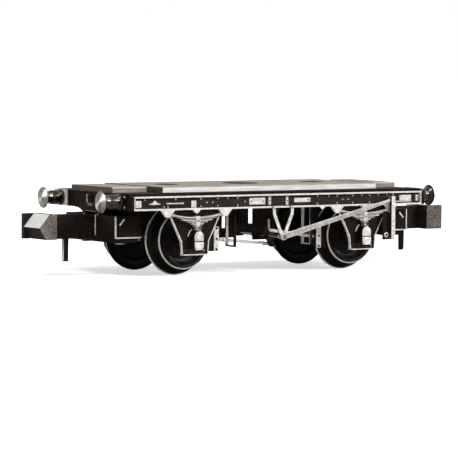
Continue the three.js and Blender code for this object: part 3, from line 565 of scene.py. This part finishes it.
def axlebox(end, side):
    """A cast axlebox: a domed body over a square keep, with a dark joint between and bolts at its foot. Its
    front is pale as a painted highlight and its sides black as painted shade.
    """
    node = f"axlebox_{end}_near"
    low, high = low_high(node)
    middle = (low.x + high.x) / 2
    half = (high.x - low.x) / 2
    face, back = low.y, high.y
    joint, gap = AXLE_HEIGHT - 0.02, 0.05
    inset, chamfer, dome_rise = 0.04, 0.1, 0.52
    lid_inset, lid_drop, lid_rise, lid_foot = 0.17, 0.62, 0.38, joint + gap + 0.14
    left, right = middle - half + inset, middle + half - inset
    body = arch(middle, high.z - dome_rise, half - inset, dome_rise, 0, 180)
    lid = arch(middle, high.z - lid_drop, half - lid_inset, lid_rise, 0, 180)
    keep = [(left, joint - gap), (left, low.z + chamfer), (left + chamfer, low.z), (right - chamfer, low.z),
            (right, low.z + chamfer), (right, joint - gap)]
    bm = bmesh.new()
    add_plate(bm, [(left, joint + gap), (right, joint + gap), *body], "Y", face + 0.06, back - SINK)
    add_plate(bm, [(middle - half + lid_inset, lid_foot), (middle + half - lid_inset, lid_foot), *lid],
              "Y", face, face + 0.2)
    add_plate(bm, keep, "Y", face + 0.03, back - SINK)
    bmesh.ops.recalc_face_normals(bm, faces=bm.faces)
    soften(bm, 0.04, edge_finish=BASE)
    # Painted shade: the sides are made black while the front keeps the pale painted highlight.
    paint(bm, EDGE, lambda normal, centre: abs(normal.y) < 0.35)
    add_box(bm, (middle - half + chamfer, middle + half - chamfer), (face + 0.16, back - 0.05),
            (joint - 2 * gap, joint + 2 * gap), EDGE)
    bolt_inset, bolt_rise, rib = 0.14, 0.16, 0.1
    for sign in (-1, 1):
        bolt = (middle + sign * (half - bolt_inset), face + 0.03, low.z + bolt_rise)
        add_nut(bm, bolt, NEARWARD, 0.06, 0.05, EDGE)
        for y in (face + 0.25, back - 0.15):
            add_box(bm, (middle + sign * half - 0.05, middle + sign * half + 0.03), (y, y + rib),
                    (low.z + 0.25, high.z - 0.7), EDGE)
    moulded(f"axlebox_{end}_{side}_casting", bm, [drybrush_and_highlight, moulded_black],
            matching(node, end, side), turn=SIDES[side])


def leaf_spring(end, side):
    """Five separate leaves with a dark line between each, alternately pale and grey as a painted highlight,
    eyes on the top leaf, and a bolted buckle.
    """
    node = f"leaf_spring_{end}_near"
    low, high = low_high(node)
    middle = (low.x + high.x) / 2
    reach = (high.x - low.x) / 2
    shares = (1, 0.81, 0.62, 0.42, 0.24)
    pitch, thick, rise, steps = 0.16, 0.09, 0.32, 10
    leaf_top = high.z - rise
    buckle_foot = leaf_top - len(shares) * pitch
    outer, inner = low.y + 0.1, high.y - 0.01
    bm = bmesh.new()
    for k, share in enumerate(shares):
        half = reach * share
        xs = [half * (j / steps) for j in range(-steps, steps + 1)]
        line = [(middle + x, leaf_top - k * pitch - 0.07 + rise * (x / reach) ** 2) for x in xs]
        # Painted highlight: leaves 0, 2 and 4 take the pale finish, leaves 1 and 3 the grey one.
        add_plate(bm, band(line, thick), "Y", outer + 0.04 * (k % 2), inner, BASE if k % 2 else EDGE)
    eye, pin = 0.13, 0.06
    for sign in (-1, 1):
        x, z = middle + sign * (reach - 0.1), leaf_top + rise - eye
        add_rod(bm, (x, outer - 0.04, z), (x, inner, z), eye, EDGE, 20)
        add_rod(bm, (x, outer - 0.1, z), (x, outer, z), pin, MARK, 12)
    buckle, step, stem = 0.23, 0.06, 0.12
    add_box(bm, (middle - buckle, middle + buckle), (low.y, inner),
            (buckle_foot - 0.1, leaf_top + 0.08), EDGE)
    add_box(bm, (middle - buckle - step, middle + buckle + step), (low.y + step, inner),
            (buckle_foot - 0.22, buckle_foot - 0.08))
    add_box(bm, (middle - stem, middle + stem), (low.y + stem, inner), (low.z, buckle_foot - 0.2))
    add_nut(bm, (middle, low.y, leaf_top - 2.5 * pitch), NEARWARD, 0.12, 0.06, MARK)
    moulded(f"leaf_spring_{end}_{side}_leaves", bm, [grey_paint_and_highlight, drybrush_and_highlight, rubbed_and_lit_grey],
            matching(node, end, side), turn=SIDES[side])


# ---- Wheelsets ----


def wheel(end, side):
    """A dished wheel: flange and rim edges made pale as a painted highlight, coned tread, glossy slope to the
    dish, raised hub.
    """
    node = f"wheel_{end}_{side}"
    low, high = low_high(node)
    flange = AXLE_HEIGHT - low.z
    tread = flange - 0.6
    width = high.y - low.y
    bore = 0.51
    outward = -1 if side == "near" else 1
    back = high.y if side == "near" else low.y
    inner_face = [
        (bore, 0.02, BASE), (0.94, 0.02, BASE), (1.0, 0.07, BASE), (1.04, 0.34, BASE), (1.18, 0.4, BASE),
        (2.34, 0.4, BASE), (2.48, 0.34, BASE), (2.56, 0.06, BASE), (2.62, 0, BASE),
    ]
    # The EDGE bands are the pale painted highlight on the flange's edge and the rim's front edge.
    rolling_edge = [
        (flange - 0.3, 0, BASE), (flange - 0.12, 0.07, BASE), (flange - 0.03, 0.16, BASE),
        (flange, 0.23, EDGE), (flange - 0.02, 0.3, EDGE), (flange - 0.1, 0.37, EDGE),
        (flange - 0.42, 0.47, BASE), (tread + 0.06, 0.53, BASE), (tread + 0.01, 0.62, BASE),
        (tread, 0.72, BASE), (tread - 0.03, width - 0.12, BASE), (tread - 0.05, width - 0.06, EDGE),
        (tread - 0.1, width, EDGE), (tread - 0.16, width, EDGE),
    ]
    outer_face = [
        (2.66, width, BASE), (2.6, width - 0.02, BASE), (2.54, width - 0.1, BASE),
        (2.5, width - 0.16, MARK), (2.1, width - 0.5, MARK), (1.95, width - 0.55, BASE),
        (1.2, width - 0.5, BASE), (1.06, width - 0.44, BASE), (0.98, width - 0.16, BASE),
        (0.92, width - 0.1, BASE), (0.86, width - 0.09, BASE), (bore, width - 0.09, BASE),
    ]
    bm = bmesh.new()
    add_turned(bm, inner_face + rolling_edge + outer_face + inner_face[:1],
               ((low.x + high.x) / 2, back, AXLE_HEIGHT), (0, outward, 0), 96)
    part(f"{node}_turned", bm, [wheel_black, drybrush_and_highlight, wheel_gloss], f"wheelset_{end}",
         "wheel_plastic", node, flat=50)


def axle(end):
    """A drawn steel axle with a pinpoint at each end and a collar inside each wheel."""
    node = f"axle_{end}"
    low, high = low_high(node)
    tip, body, collar = high.y, 0.5, 0.64
    half = [(0.03, tip), (0.09, tip - 0.05), (body, tip - 0.8), (body, 3.71), (collar - 0.02, 3.7),
            (collar, 3.68), (collar, 3.4), (collar - 0.02, 3.38), (body, 3.36), (0.44, 3.2)]
    profile = [(0, -tip), *[(radius, -along) for radius, along in half], *half[::-1], (0, tip)]
    bm = bmesh.new()
    add_turned(bm, one_finish(profile, BASE), ((low.x + high.x) / 2, 0, AXLE_HEIGHT), ACROSS, 40)
    part(f"{node}_drawn", bm, [axle_steel], f"wheelset_{end}", "axle_steel", node, flat=50)


# ---- Ends: headstock, coupler pocket, buffers and coupler ----


def headstock(end):
    """The end beam, with a drawbar plate in its middle, bolts, rivets and a pale edge over the pocket; that
    edge, the strip beside the plate and the rivets round the buffers are pale as a painted highlight.
    """
    face, notch = END_FACE, 1.6
    bm = from_node("headstock_left")
    soften(bm, 0.035, edge_finish=BASE)
    # Painted highlight: the downward faces over the pocket are made pale.
    paint(bm, EDGE, lambda normal, centre: normal.z < -0.25 and centre.x < face + 0.1
          and centre.z < SOLEBAR_FOOT + 0.05 and abs(centre.y) < notch)
    plate_stand, strip_stand, step_stand = 0.12, 0.16, 0.18
    add_box(bm, (face - plate_stand, face + SINK), (-0.42, 0.42), (7.05, 8.12))
    # Painted highlight: this strip is pale.
    add_box(bm, (face - strip_stand, face + SINK), (0.4, 0.52), (7.3, 8.16), EDGE)
    add_box(bm, (face - step_stand, face + SINK), (-0.62, 0.3), (7.0, 7.3), MARK)
    for y in (-0.22, 0.22):
        add_nut(bm, (face - plate_stand, y, 7.85), LEFTWARD, 0.1, 0.08)
    bolt_offset, bolt_rise, rivet_height = 1.08, 0.52, 7.9
    # Painted highlight: the rivets round the buffers are pale.
    for sign in (-1, 1):
        for offset in (-bolt_offset, bolt_offset):
            for rise in (-bolt_rise, bolt_rise):
                at = (face - 0.11, sign * BUFFER_SPOT.y + offset, BUFFER_SPOT.z + rise)
                add_rivet(bm, at, LEFTWARD, 0.1, 0.08, EDGE)
        for y in (2.3, 3.0, 3.7):
            add_rivet(bm, (face, sign * y, rivet_height), LEFTWARD, 0.08, 0.06)
    moulded(f"headstock_{end}_beam", bm, [moulded_black, drybrush_and_highlight, rubbed_and_lit_grey],
            f"headstock_{end}", turn=ENDS[end])


def coupler_pocket(end):
    """The coupler's housing: corners, feet, lips beside the slot and a dash on each side made pale as a
    painted highlight, and a rib on each side.
    """
    low, high = low_high("coupler_pocket_left")
    face, corner, foot = low.x, 0.13, 0.13
    lip_reach, rib_rise, rib = (0.97, 1.1), 0.62, 0.1
    dash = [(face + 0.5, low.z + 1.35), (face + 1.0, low.z + 1.95)]
    bm = from_node("coupler_pocket_left")
    soften(bm, 0.06, edge_finish=BASE)
    for sign in (-1, 1):
        corner_y = sorted((sign * (high.y - corner), sign * (high.y + 0.02)))
        foot_y = sorted((sign * high.y - 0.02, sign * (high.y + 0.03)))
        rib_y = sorted((sign * high.y - 0.02, sign * (high.y + 0.05)))
        dash_y = sorted((sign * (high.y - 0.02), sign * (high.y + 0.06)))
        lip_y = sorted(sign * reach for reach in lip_reach)
        # Painted highlight: the corners, feet, lips and dash are pale.
        add_box(bm, (face - SINK, face + corner), corner_y, (low.z, high.z), EDGE)
        add_box(bm, (face + SINK, high.x - SINK), foot_y, (low.z, low.z + foot), EDGE)
        add_box(bm, (face + 0.25, high.x - 0.2), rib_y, (low.z + rib_rise, low.z + rib_rise + rib))
        add_box(bm, (face - 0.05, face + 0.05), lip_y, (low.z + 0.2, high.z - SINK), EDGE)
        add_plate(bm, band(dash, 0.16), "Y", *dash_y, EDGE)
    moulded(f"coupler_pocket_{end}_housing", bm, [moulded_black, drybrush_and_highlight],
            f"coupler_pocket_{end}", turn=ENDS[end])


def pocket_cover(end):
    """The cover plate under the pocket, with a raised middle and two slotted screws."""
    low, high = low_high("pocket_cover_left")
    rim, thick, screw_y = 0.2, 0.06, 3.4
    head = [(0, -0.02), (0.52, -0.02), (0.52, 0.1), (0.44, 0.16), (0.1, 0.2), (0, 0.2)]
    slot_reach, slot_half = 0.4, 0.05
    bm = from_node("pocket_cover_left")
    soften(bm, 0.05, edge_finish=BASE)
    add_box(bm, (low.x + rim, high.x - rim), (low.y + rim, high.y - rim), (low.z - thick, low.z + SINK))
    for sign in (-1, 1):
        x, y, z = (low.x + high.x) / 2, sign * screw_y, low.z - thick
        add_turned(bm, one_finish(head, EDGE), (x, y, z), -UP, 32)
        add_box(bm, (x - slot_reach, x + slot_reach), (y - slot_half, y + slot_half), (z - 0.22, z - 0.1))
    moulded(f"pocket_cover_{end}_plate", bm, [moulded_black, axle_steel],
            f"pocket_cover_{end}", turn=ENDS[end])


def buffer(end, side):
    """A turned buffer: square base, stepped dark housing and ram, flared neck and a bright domed head."""
    housing, head = f"buffer_housing_{end}_{side}", f"buffer_head_{end}_{side}"
    low, high = low_high(head)
    outward = -1 if end == "left" else 1
    face = END_FACE * -outward
    y, z = (low.y + high.y) / 2, (low.z + high.z) / 2
    length = abs((low.x if end == "left" else high.x) - face)
    radius = (high.y - low.y) / 2
    base_stand, base_y, base_z = 0.12, 1.3, 0.83
    shank = [(0, 0.05), (0.8, 0.05), (0.82, 0.14), (0.82, 0.24), (0.78, 0.3), (0.72, 0.32), (0.72, 1.34),
             (0.7, 1.38), (0.66, 1.4), (0.65, 1.86), (0, 1.86)]
    bm = bmesh.new()
    add_box(bm, sorted((face + outward * base_stand, face - outward * 0.01)), (y - base_y, y + base_y),
            (z - base_z, z + base_z), EDGE)
    add_turned(bm, one_finish(shank, BASE), (face, y, z), (outward, 0, 0))
    # Painted light: the far buffers' base plates are pale as a painted highlight and the near ones black as
    # painted shade.
    base_finish = drybrush_and_highlight if side == "far" else moulded_black
    part(f"{housing}_turned", bm, [turned_dark, base_finish], "chassis", "turned_metal", housing)

    neck = length - 0.58
    dark = [(0, neck), (0.6, neck), (0.72, neck + 0.02), (0.76, neck + 0.08), (0.93, neck + 0.24),
            (0.97, neck + 0.3), (radius - 0.05, neck + 0.3), (radius, neck + 0.34), (radius, length - 0.2)]
    dome_edge = radius - 0.08
    bright = [(radius - 0.04, length - 0.16), (dome_edge, length - 0.13)]
    rings, crown = 10, 0.13
    for k in range(1, rings):
        share = 1 - k / rings
        bright.append((share * dome_edge, length - crown * share ** 1.5))
    bright.append((0, length))
    bm = bmesh.new()
    add_turned(bm, one_finish(dark, EDGE) + one_finish(bright, BASE), (face, y, z), (outward, 0, 0), 96)
    part(f"{head}_turned", bm, [turned_bright, turned_dark], "chassis", "turned_metal", head)


def coupler(end):
    """The hook coupler: nose facets coloured as painted light (a pale painted highlight on the top facet,
    grey on the near facet, a grey sheen on the cheek), an arm with two moulding lines, a pale painted
    highlight line down its drop pin.
    """
    low, high = low_high("coupler_left")
    head_back, nose_side, cheek_side = low.x + 2.0, -1.6, 2
    bm = from_node("coupler_left")
    soften(bm, 0.04, edge_finish=BASE)
    # Painted light: the nose's top facet pale, its near facet grey, the cheek's outer face a grey sheen.
    paint(bm, EDGE, lambda normal, centre: normal.z > 0.3 and normal.x < -0.3 and centre.x < head_back
          and centre.y < -nose_side)
    paint(bm, MARK, lambda normal, centre: normal.y < -SQUARE_ON and centre.x < head_back
          and centre.y < nose_side)
    paint(bm, FOURTH, lambda normal, centre: normal.y > SQUARE_ON and centre.x < head_back
          and centre.y > cheek_side)
    collar, line_margin = head_back + 0.35, 0.6
    add_box(bm, (collar, collar + 0.08), (-0.63, 0.63), (ARM_FOOT + 0.05, high.z - 0.12))
    for sign in (-1, 1):
        y = sorted((sign * 0.58, sign * 0.63))
        for z in ((4.2, 4.3), (5.75, 5.85)):
            add_box(bm, (head_back + line_margin, END_FACE - line_margin), y, z)
    pin = END_FACE - 2.9
    # Painted highlight: a pale line down the drop pin.
    add_box(bm, (pin - 0.3, pin - 0.22), (-0.16, 0.16), (low.z + 0.1, ARM_FOOT), EDGE)
    part(f"coupler_{end}_hook", bm, [coupler_black, painted_highlight_pale, rubbed_and_lit_grey, cheek_sheen_grey],
         f"coupler_hook_{end}", "coupler_plastic", f"coupler_{end}", turn=ENDS[end])


def coupler_spring(end):
    """The little coil behind the tail bar, drawn as one round wire."""
    low, high = low_high("coupler_spring_left")
    wire = 0.08
    middle = (low + high) / 2
    radius = (high.y - low.y) / 2 - wire
    turns, steps, sides = 2, 96, 12
    bm = bmesh.new()
    rings = []
    for k in range(steps + 1):
        angle = 2 * math.pi * turns * k / steps
        across = Vector((0, math.cos(angle), math.sin(angle)))
        along = low.x + wire + (high.x - low.x - 2 * wire) * k / steps
        centre = Vector((along, middle.y, middle.z)) + across * radius
        ring = [centre + (across * math.cos(a) + LENGTHWISE * math.sin(a)) * wire
                for a in (2 * math.pi * j / sides for j in range(sides))]
        rings.append([bm.verts.new(point) for point in ring])
    for first, second in zip(rings, rings[1:]):
        for j in range(sides):
            after = (j + 1) % sides
            bm.faces.new((first[j], first[after], second[after], second[j]))
    bm.faces.new(rings[0])
    bm.faces.new(rings[-1][::-1])
    part(f"coupler_spring_{end}_coil", bm, [spring_wire], f"coupler_seat_{end}", "spring_steel",
         f"coupler_spring_{end}", turn=ENDS[end])


# ---- Brake gear ----


def v_hanger(side):
    """The V hanger: two straps whose front faces are pale as a painted highlight, with a nut at each head."""
    low, high = low_high("v_hanger_near")
    nut_x, nut_drop = 1.11, 0.2
    bm = from_node("v_hanger_near")
    soften(bm, 0.03, least=30)
    # Painted highlight: the front faces are made pale.
    paint(bm, EDGE, lambda normal, centre: normal.y < -0.8)
    for sign in (-1, 1):
        add_nut(bm, (sign * nut_x, low.y, high.z - nut_drop), NEARWARD, 0.1, 0.06, MARK)
    moulded(f"v_hanger_{side}_straps", bm, [solebar_black, drybrush_and_highlight, rubbed_and_lit_grey],
            f"v_hanger_{side}", turn=SIDES[side])


def brake_lever(side):
    """The long hand lever: grey face, with pale edges and top as a painted highlight, a boss and pin at the
    shaft and a grip at its end.
    """
    low, high = low_high("brake_lever_near")
    boss = [(0, -0.02), (0.3, -0.02), (0.3, 0.1), (0.26, 0.14)]
    pin = [(0.12, 0.15), (0.12, 0.19), (0, 0.19)]
    bm = from_node("brake_lever_near")
    soften(bm, 0.035, least=30)
    # Painted highlight: the upward faces are made pale.
    paint(bm, EDGE, lambda normal, centre: normal.z > 0.6)
    add_turned(bm, one_finish(boss, EDGE) + one_finish(pin, MARK), (0, low.y, SHAFT_HEIGHT), NEARWARD, 32)
    grip_from, grip_to, grip_y = high.x - 1.5, high.x - 0.02, low.y + 0.09
    grip_height = high.z - 0.15
    slope = (SOLEBAR_FOOT + 0.5 - SHAFT_HEIGHT) / high.x
    add_rod(bm, (grip_from, grip_y, grip_height - (high.x - grip_from) * slope),
            (grip_to, grip_y, grip_height), 0.1, EDGE, 16)
    moulded(f"brake_lever_{side}_bar", bm, [grey_paint_and_highlight, drybrush_and_highlight, rubbed_and_lit_grey],
            f"brake_lever_{side}", turn=SIDES[side])


def lever_guard(side):
    """The lever's guard: a front strap made pale as a painted highlight with a row of pins, a black back
    plate, a boss and a rod.
    """
    low, high = low_high("lever_guard_near")
    middle, front, back = (low.x + high.x) / 2, low.y, high.y - 0.14
    bm = from_node("lever_guard_near")
    soften(bm, 0.025)
    # Painted highlight: the front strap is made pale.
    paint(bm, EDGE, lambda normal, centre: centre.y < front + 0.16)
    pin_from, pin_to, pins = low.z + 0.45, high.z - 0.6, 8
    for k in range(pins):
        z = pin_from + (pin_to - pin_from) * k / (pins - 1)
        add_rivet(bm, (middle, front, z), NEARWARD, 0.06, 0.03, MARK)
    add_box(bm, (low.x - 0.82, low.x + 0.1), (back, high.y), (low.z, low.z + 2.85))
    root, boss = [(0, -0.02), (0.26, -0.02)], [(0.26, 0.03), (0.2, 0.05), (0.14, 0.02)]
    add_turned(bm, one_finish(root, BASE) + one_finish(boss, EDGE) + [(0, 0.02, BASE)],
               (low.x - 0.35, back, low.z + 0.5), NEARWARD, 24)
    rod_y, rod_z = back + 0.07, low.z + 0.42
    add_rod(bm, (low.x - 1.9, rod_y, rod_z), (low.x - 0.7, rod_y, rod_z), 0.06, EDGE, 12)
    moulded(f"lever_guard_{side}_straps", bm, [moulded_black, drybrush_and_highlight, rubbed_and_lit_grey],
            f"lever_guard_{side}", turn=SIDES[side])


def brake_shoe(end):
    """A brake block on its hanger, with a backing strap made pale as a painted highlight, its three bolts and
    the hanger's pin.
    """
    node = f"brake_shoe_{end}"
    low, high = low_high(node)
    inner = high.x if end == "left" else low.x
    sign = -1 if end == "left" else 1
    strap = sorted((inner + sign * 0.58, inner))
    front, reach, bolt_inset = low.y - 0.1, 1.25, 0.18
    top, bottom = AXLE_HEIGHT + reach, AXLE_HEIGHT - reach
    pin_x, pin_z = inner + sign * 0.25, AXLE_HEIGHT + 1.5
    bm = from_node(node)
    soften(bm, 0.04, least=30, edge_finish=BASE)
    # Painted highlight: the backing strap is pale.
    add_box(bm, strap, (front, low.y + SINK), (bottom, top), EDGE)
    for z in (top - bolt_inset, AXLE_HEIGHT, bottom + bolt_inset):
        add_nut(bm, (sum(strap) / 2, front, z), NEARWARD, 0.12, 0.1)
    add_rod(bm, (pin_x, low.y - 0.05, pin_z), (pin_x, high.y + 0.05, pin_z), 0.12, BASE, 16)
    moulded(f"{node}_block", bm, [moulded_black, drybrush_and_highlight], node)


def push_rod(end):
    """A round push rod with a forked jaw and a pin at each end."""
    node = f"push_rod_{end}"
    low, high = low_high(node)
    y = (low.y + high.y) / 2
    radius = (high.y - low.y) / 2
    inset, jaw, pin_inset, pin = 0.05, 0.75, 0.12, 0.11
    start = Vector((low.x + inset, y, high.z - radius))
    stop = Vector((high.x - inset, y, low.z + radius))
    bm = bmesh.new()
    # Painted highlight: the rod is pale and the jaws grey.
    add_rod(bm, start, stop, radius * 0.8, EDGE)
    run = (stop - start).normalized()
    for at, sense in ((start, 1), (stop, -1)):
        inner = at + run * (sense * jaw)
        for side in (-1, 1):
            shift = ACROSS * (side * radius * 0.7)
            add_rod(bm, at + shift, inner + shift, radius * 0.32, BASE, 12)
        past = run * (sense * pin_inset)
        add_rod(bm, at - ACROSS * radius + past, at + ACROSS * radius + past, pin, MARK, 16)
        add_rod(bm, inner - past, inner + past, radius * 0.95)
    moulded(f"{node}_round", bm, [grey_paint_and_highlight, drybrush_and_highlight, rubbed_and_lit_grey], node)


def plain_frame_piece(node, width, pale=None):
    """A moulded black piece with its edges rounded to this width, pale as a painted highlight where the test
    passes.
    """
    bm = from_node(node)
    soften(bm, width, least=30, edge_finish=BASE)
    if pale:
        paint(bm, EDGE, pale)
    moulded(f"{node}_fine", bm, [moulded_black, drybrush_and_highlight], node)


def brake_frame():
    """The plate behind the push rods, with a raised bar and bolt at each end and a strap on its face made
    pale as a painted highlight.
    """
    low, high = low_high("brake_frame")
    face, end_inset, bar_half = low.y, 0.3, 0.12
    bm = from_node("brake_frame")
    soften(bm, 0.04, edge_finish=BASE)
    for x in (low.x + end_inset, high.x - end_inset):
        add_box(bm, (x - bar_half, x + bar_half), (face - 0.08, face + SINK), (low.z + 0.9, high.z - 0.6))
        add_nut(bm, (x, face, high.z - end_inset), NEARWARD, 0.12, 0.08)
    # Painted highlight: the strap is pale.
    strap, strap_half, strap_foot, strap_length = high.x - 0.75, 0.13, low.z - 0.6, 2.7
    add_box(bm, (strap - strap_half, strap + strap_half), (face - 0.14, face + SINK),
            (strap_foot, strap_foot + strap_length), EDGE)
    add_box(bm, (strap - 0.7, strap + 0.1), (face - 0.12, face), (strap_foot - 0.02, strap_foot + 0.26))
    collar = [(0.36, -0.02), (0.36, 0.08), (0.32, 0.12), (0.24, 0.12), (0.22, -0.02)]
    add_turned(bm, one_finish(collar, BASE), (0, face, SHAFT_HEIGHT), NEARWARD, 32)
    moulded("brake_frame_plate", bm, [moulded_black, drybrush_and_highlight], "brake_frame")


def cross_shaft():
    """The brake cross shaft with four collars along it."""
    low, high = low_high("brake_cross_shaft")
    shaft, collar, collar_width = 0.17, 0.26, 0.25
    bm = bmesh.new()
    add_rod(bm, (0, low.y + 0.01, SHAFT_HEIGHT), (0, high.y - 0.01, SHAFT_HEIGHT), shaft, BASE, 32)
    for y in (low.y + 0.3, high.y - 0.5, -2.6, 2.4):
        add_rod(bm, (0, y, SHAFT_HEIGHT), (0, y + collar_width, SHAFT_HEIGHT), collar, BASE, 32)
    part("brake_cross_shaft_drawn", bm, [axle_steel], "chassis", "axle_steel", "brake_cross_shaft")


# ---- Everything in its place ----

for bar in ("ballast_weight", "deck_block_left", "deck_block_right"):
    deck_bar(bar)
floor_plate()
for side in SIDES:
    solebar(side)
    v_hanger(side)
    brake_lever(side)
    lever_guard(side)
    for end in ENDS:
        axle_guard(end, side)
        axlebox(end, side)
        leaf_spring(end, side)
        wheel(end, side)
        buffer(end, side)
for end in ENDS:
    axle(end)
    headstock(end)
    coupler_pocket(end)
    pocket_cover(end)
    coupler(end)
    coupler_spring(end)
    brake_shoe(end)
    push_rod(end)
    loop_middle = centre_of(f"safety_loop_{end}").y
    # Painted highlight: the half of each safety loop beyond its middle is pale.
    plain_frame_piece(f"safety_loop_{end}", 0.025, pale=lambda normal, centre: centre.y > loop_middle)
    plain_frame_piece(f"cross_bearer_{end}", 0.04)
cross_shaft()
brake_frame()
# Painted highlight: the hanger's leftward faces low down are pale.
plain_frame_piece("cross_shaft_hanger", 0.03, pale=lambda normal, centre: normal.x < -0.8 and centre.z < 7)
plain_frame_piece("brake_tumbler", 0.04)

# ---- Floor, light and camera ----


def stage_floor():
    """A plain pale floor that keeps the wagon's shadow, lifted a little towards white for the camera."""
    bm = bmesh.new()
    reach = 4.0
    corners = ((-reach, -reach), (reach, -reach), (reach, reach), (-reach, reach))
    bm.faces.new([bm.verts.new((x, y, 0)) for x, y in corners])
    mesh = bpy.data.meshes.new("floor_sheet")
    bm.to_mesh(mesh)
    bm.free()
    material = bpy.data.materials.new("pale_floor")
    material.use_nodes = True
    tree = material.node_tree
    shader = tree.nodes["Principled BSDF"]
    place = tree.nodes.new("ShaderNodeTexCoord").outputs["Object"]
    tone = ramp(tree, noise(tree, place, 30), [(0.3, colour(246, 246, 245)), (0.7, colour(250, 250, 249))])
    tree.links.new(tone, shader.inputs["Base Color"])
    shader.inputs["Roughness"].default_value = 0.9
    shader.inputs["Specular IOR Level"].default_value = 0.0
    rays = tree.nodes.new("ShaderNodeLightPath")
    lift = tree.nodes.new("ShaderNodeMath")
    lift.operation = "MULTIPLY"
    lift.inputs[1].default_value = 0.6
    tree.links.new(rays.outputs["Is Camera Ray"], lift.inputs[0])
    shader.inputs["Emission Color"].default_value = (1, 1, 1, 1)
    tree.links.new(lift.outputs[0], shader.inputs["Emission Strength"])
    mesh.materials.append(material)
    obj = linked("floor_sheet", mesh)


def direction_to(azimuth, elevation):
    """The way from the wagon to an azimuth (0 in front, 90 to the right) and elevation, in degrees."""
    a, e = math.radians(azimuth), math.radians(elevation)
    return Vector((math.sin(a) * math.cos(e), -math.cos(a) * math.cos(e), math.sin(e)))


def sun_light(name, azimuth, elevation, strength, spread):
    """Even soft light from one direction."""
    light = bpy.data.lights.new(name, "SUN")
    light.energy = strength
    light.angle = math.radians(spread)
    obj = linked(name, light)
    obj.rotation_mode = "QUATERNION"
    obj.rotation_quaternion = direction_to(azimuth, elevation).to_track_quat("Z", "Y")


def area_light(name, azimuth, elevation, distance, size, power, gloss_only=False):
    """A soft rectangular lamp aimed at the wagon. A gloss-only one just gives metal something to reflect."""
    light = bpy.data.lights.new(name, "AREA")
    light.shape = "RECTANGLE"
    light.size, light.size_y = size
    light.energy = power
    obj = linked(name, light)
    away = direction_to(azimuth, elevation)
    wagon_middle = Vector((0, 0, 0.004))
    obj.location = away * distance + wagon_middle
    obj.rotation_mode = "QUATERNION"
    obj.rotation_quaternion = away.to_track_quat("Z", "Y")
    obj.visible_diffuse = not gloss_only


def greater(tree, first, second):
    """The greater of two values."""
    node = tree.nodes.new("ShaderNodeMath")
    node.operation = "MAXIMUM"
    tree.links.new(first, node.inputs[0])
    tree.links.new(second, node.inputs[1])
    return node.outputs[0]


def white_background(tree, strength):
    """A white background of this strength."""
    node = tree.nodes.new("ShaderNodeBackground")
    node.inputs["Color"].default_value = (1, 1, 1, 1)
    node.inputs["Strength"].default_value = strength
    return node.outputs[0]


def world_light():
    """An even grey room for diffuse light, white to the camera and to reflections."""
    world = bpy.data.worlds.new("room")
    bpy.context.scene.world = world
    world.use_nodes = True
    tree = world.node_tree
    tree.nodes.clear()
    output = tree.nodes.new("ShaderNodeOutputWorld")
    rays = tree.nodes.new("ShaderNodeLightPath")
    seen = greater(tree, rays.outputs["Is Camera Ray"], rays.outputs["Is Glossy Ray"])
    blend = tree.nodes.new("ShaderNodeMixShader")
    tree.links.new(greater(tree, seen, rays.outputs["Is Transmission Ray"]), blend.inputs["Fac"])
    tree.links.new(white_background(tree, 0.3), blend.inputs[1])
    tree.links.new(white_background(tree, 1.0), blend.inputs[2])
    tree.links.new(blend.outputs[0], output.inputs["Surface"])


def set_camera():
    """A long lens, low at the left front of the wagon."""
    camera = bpy.data.cameras.new("camera")
    camera.sensor_width = 36
    camera.lens = 234.6
    camera.clip_start = 0.01
    camera.clip_end = 20
    obj = linked("camera", camera)
    distance, roll = 0.3117, math.radians(0.4)
    aim = Vector((-0.001277, 0, 0.004229))
    back = direction_to(-32.75, 3.22)
    obj.location = aim + back * distance
    obj.rotation_mode = "QUATERNION"
    obj.rotation_quaternion = back.to_track_quat("Z", "Y") @ Matrix.Rotation(roll, 3, "Z").to_quaternion()
    bpy.context.scene.camera = obj


stage_floor()
world_light()
sun_light("daylight", 35, 32, 1.2, 20)
area_light("key_light", 35, 24, 0.6, (0.2, 0.12), 1.7)
area_light("left_light", -70, 58, 0.6, (0.16, 0.1), 1.4)
area_light("band_light", 34, 26, 0.6, (0.4, 0.1), 3.5, gloss_only=True)
area_light("crescent_light", 62, 52, 0.6, (0.12, 0.09), 2.0, gloss_only=True)
area_light("rear_light", -121, 11, 0.6, (0.24, 0.2), 2.6, gloss_only=True)
set_camera()
bpy.context.scene.view_settings.view_transform = "Standard"
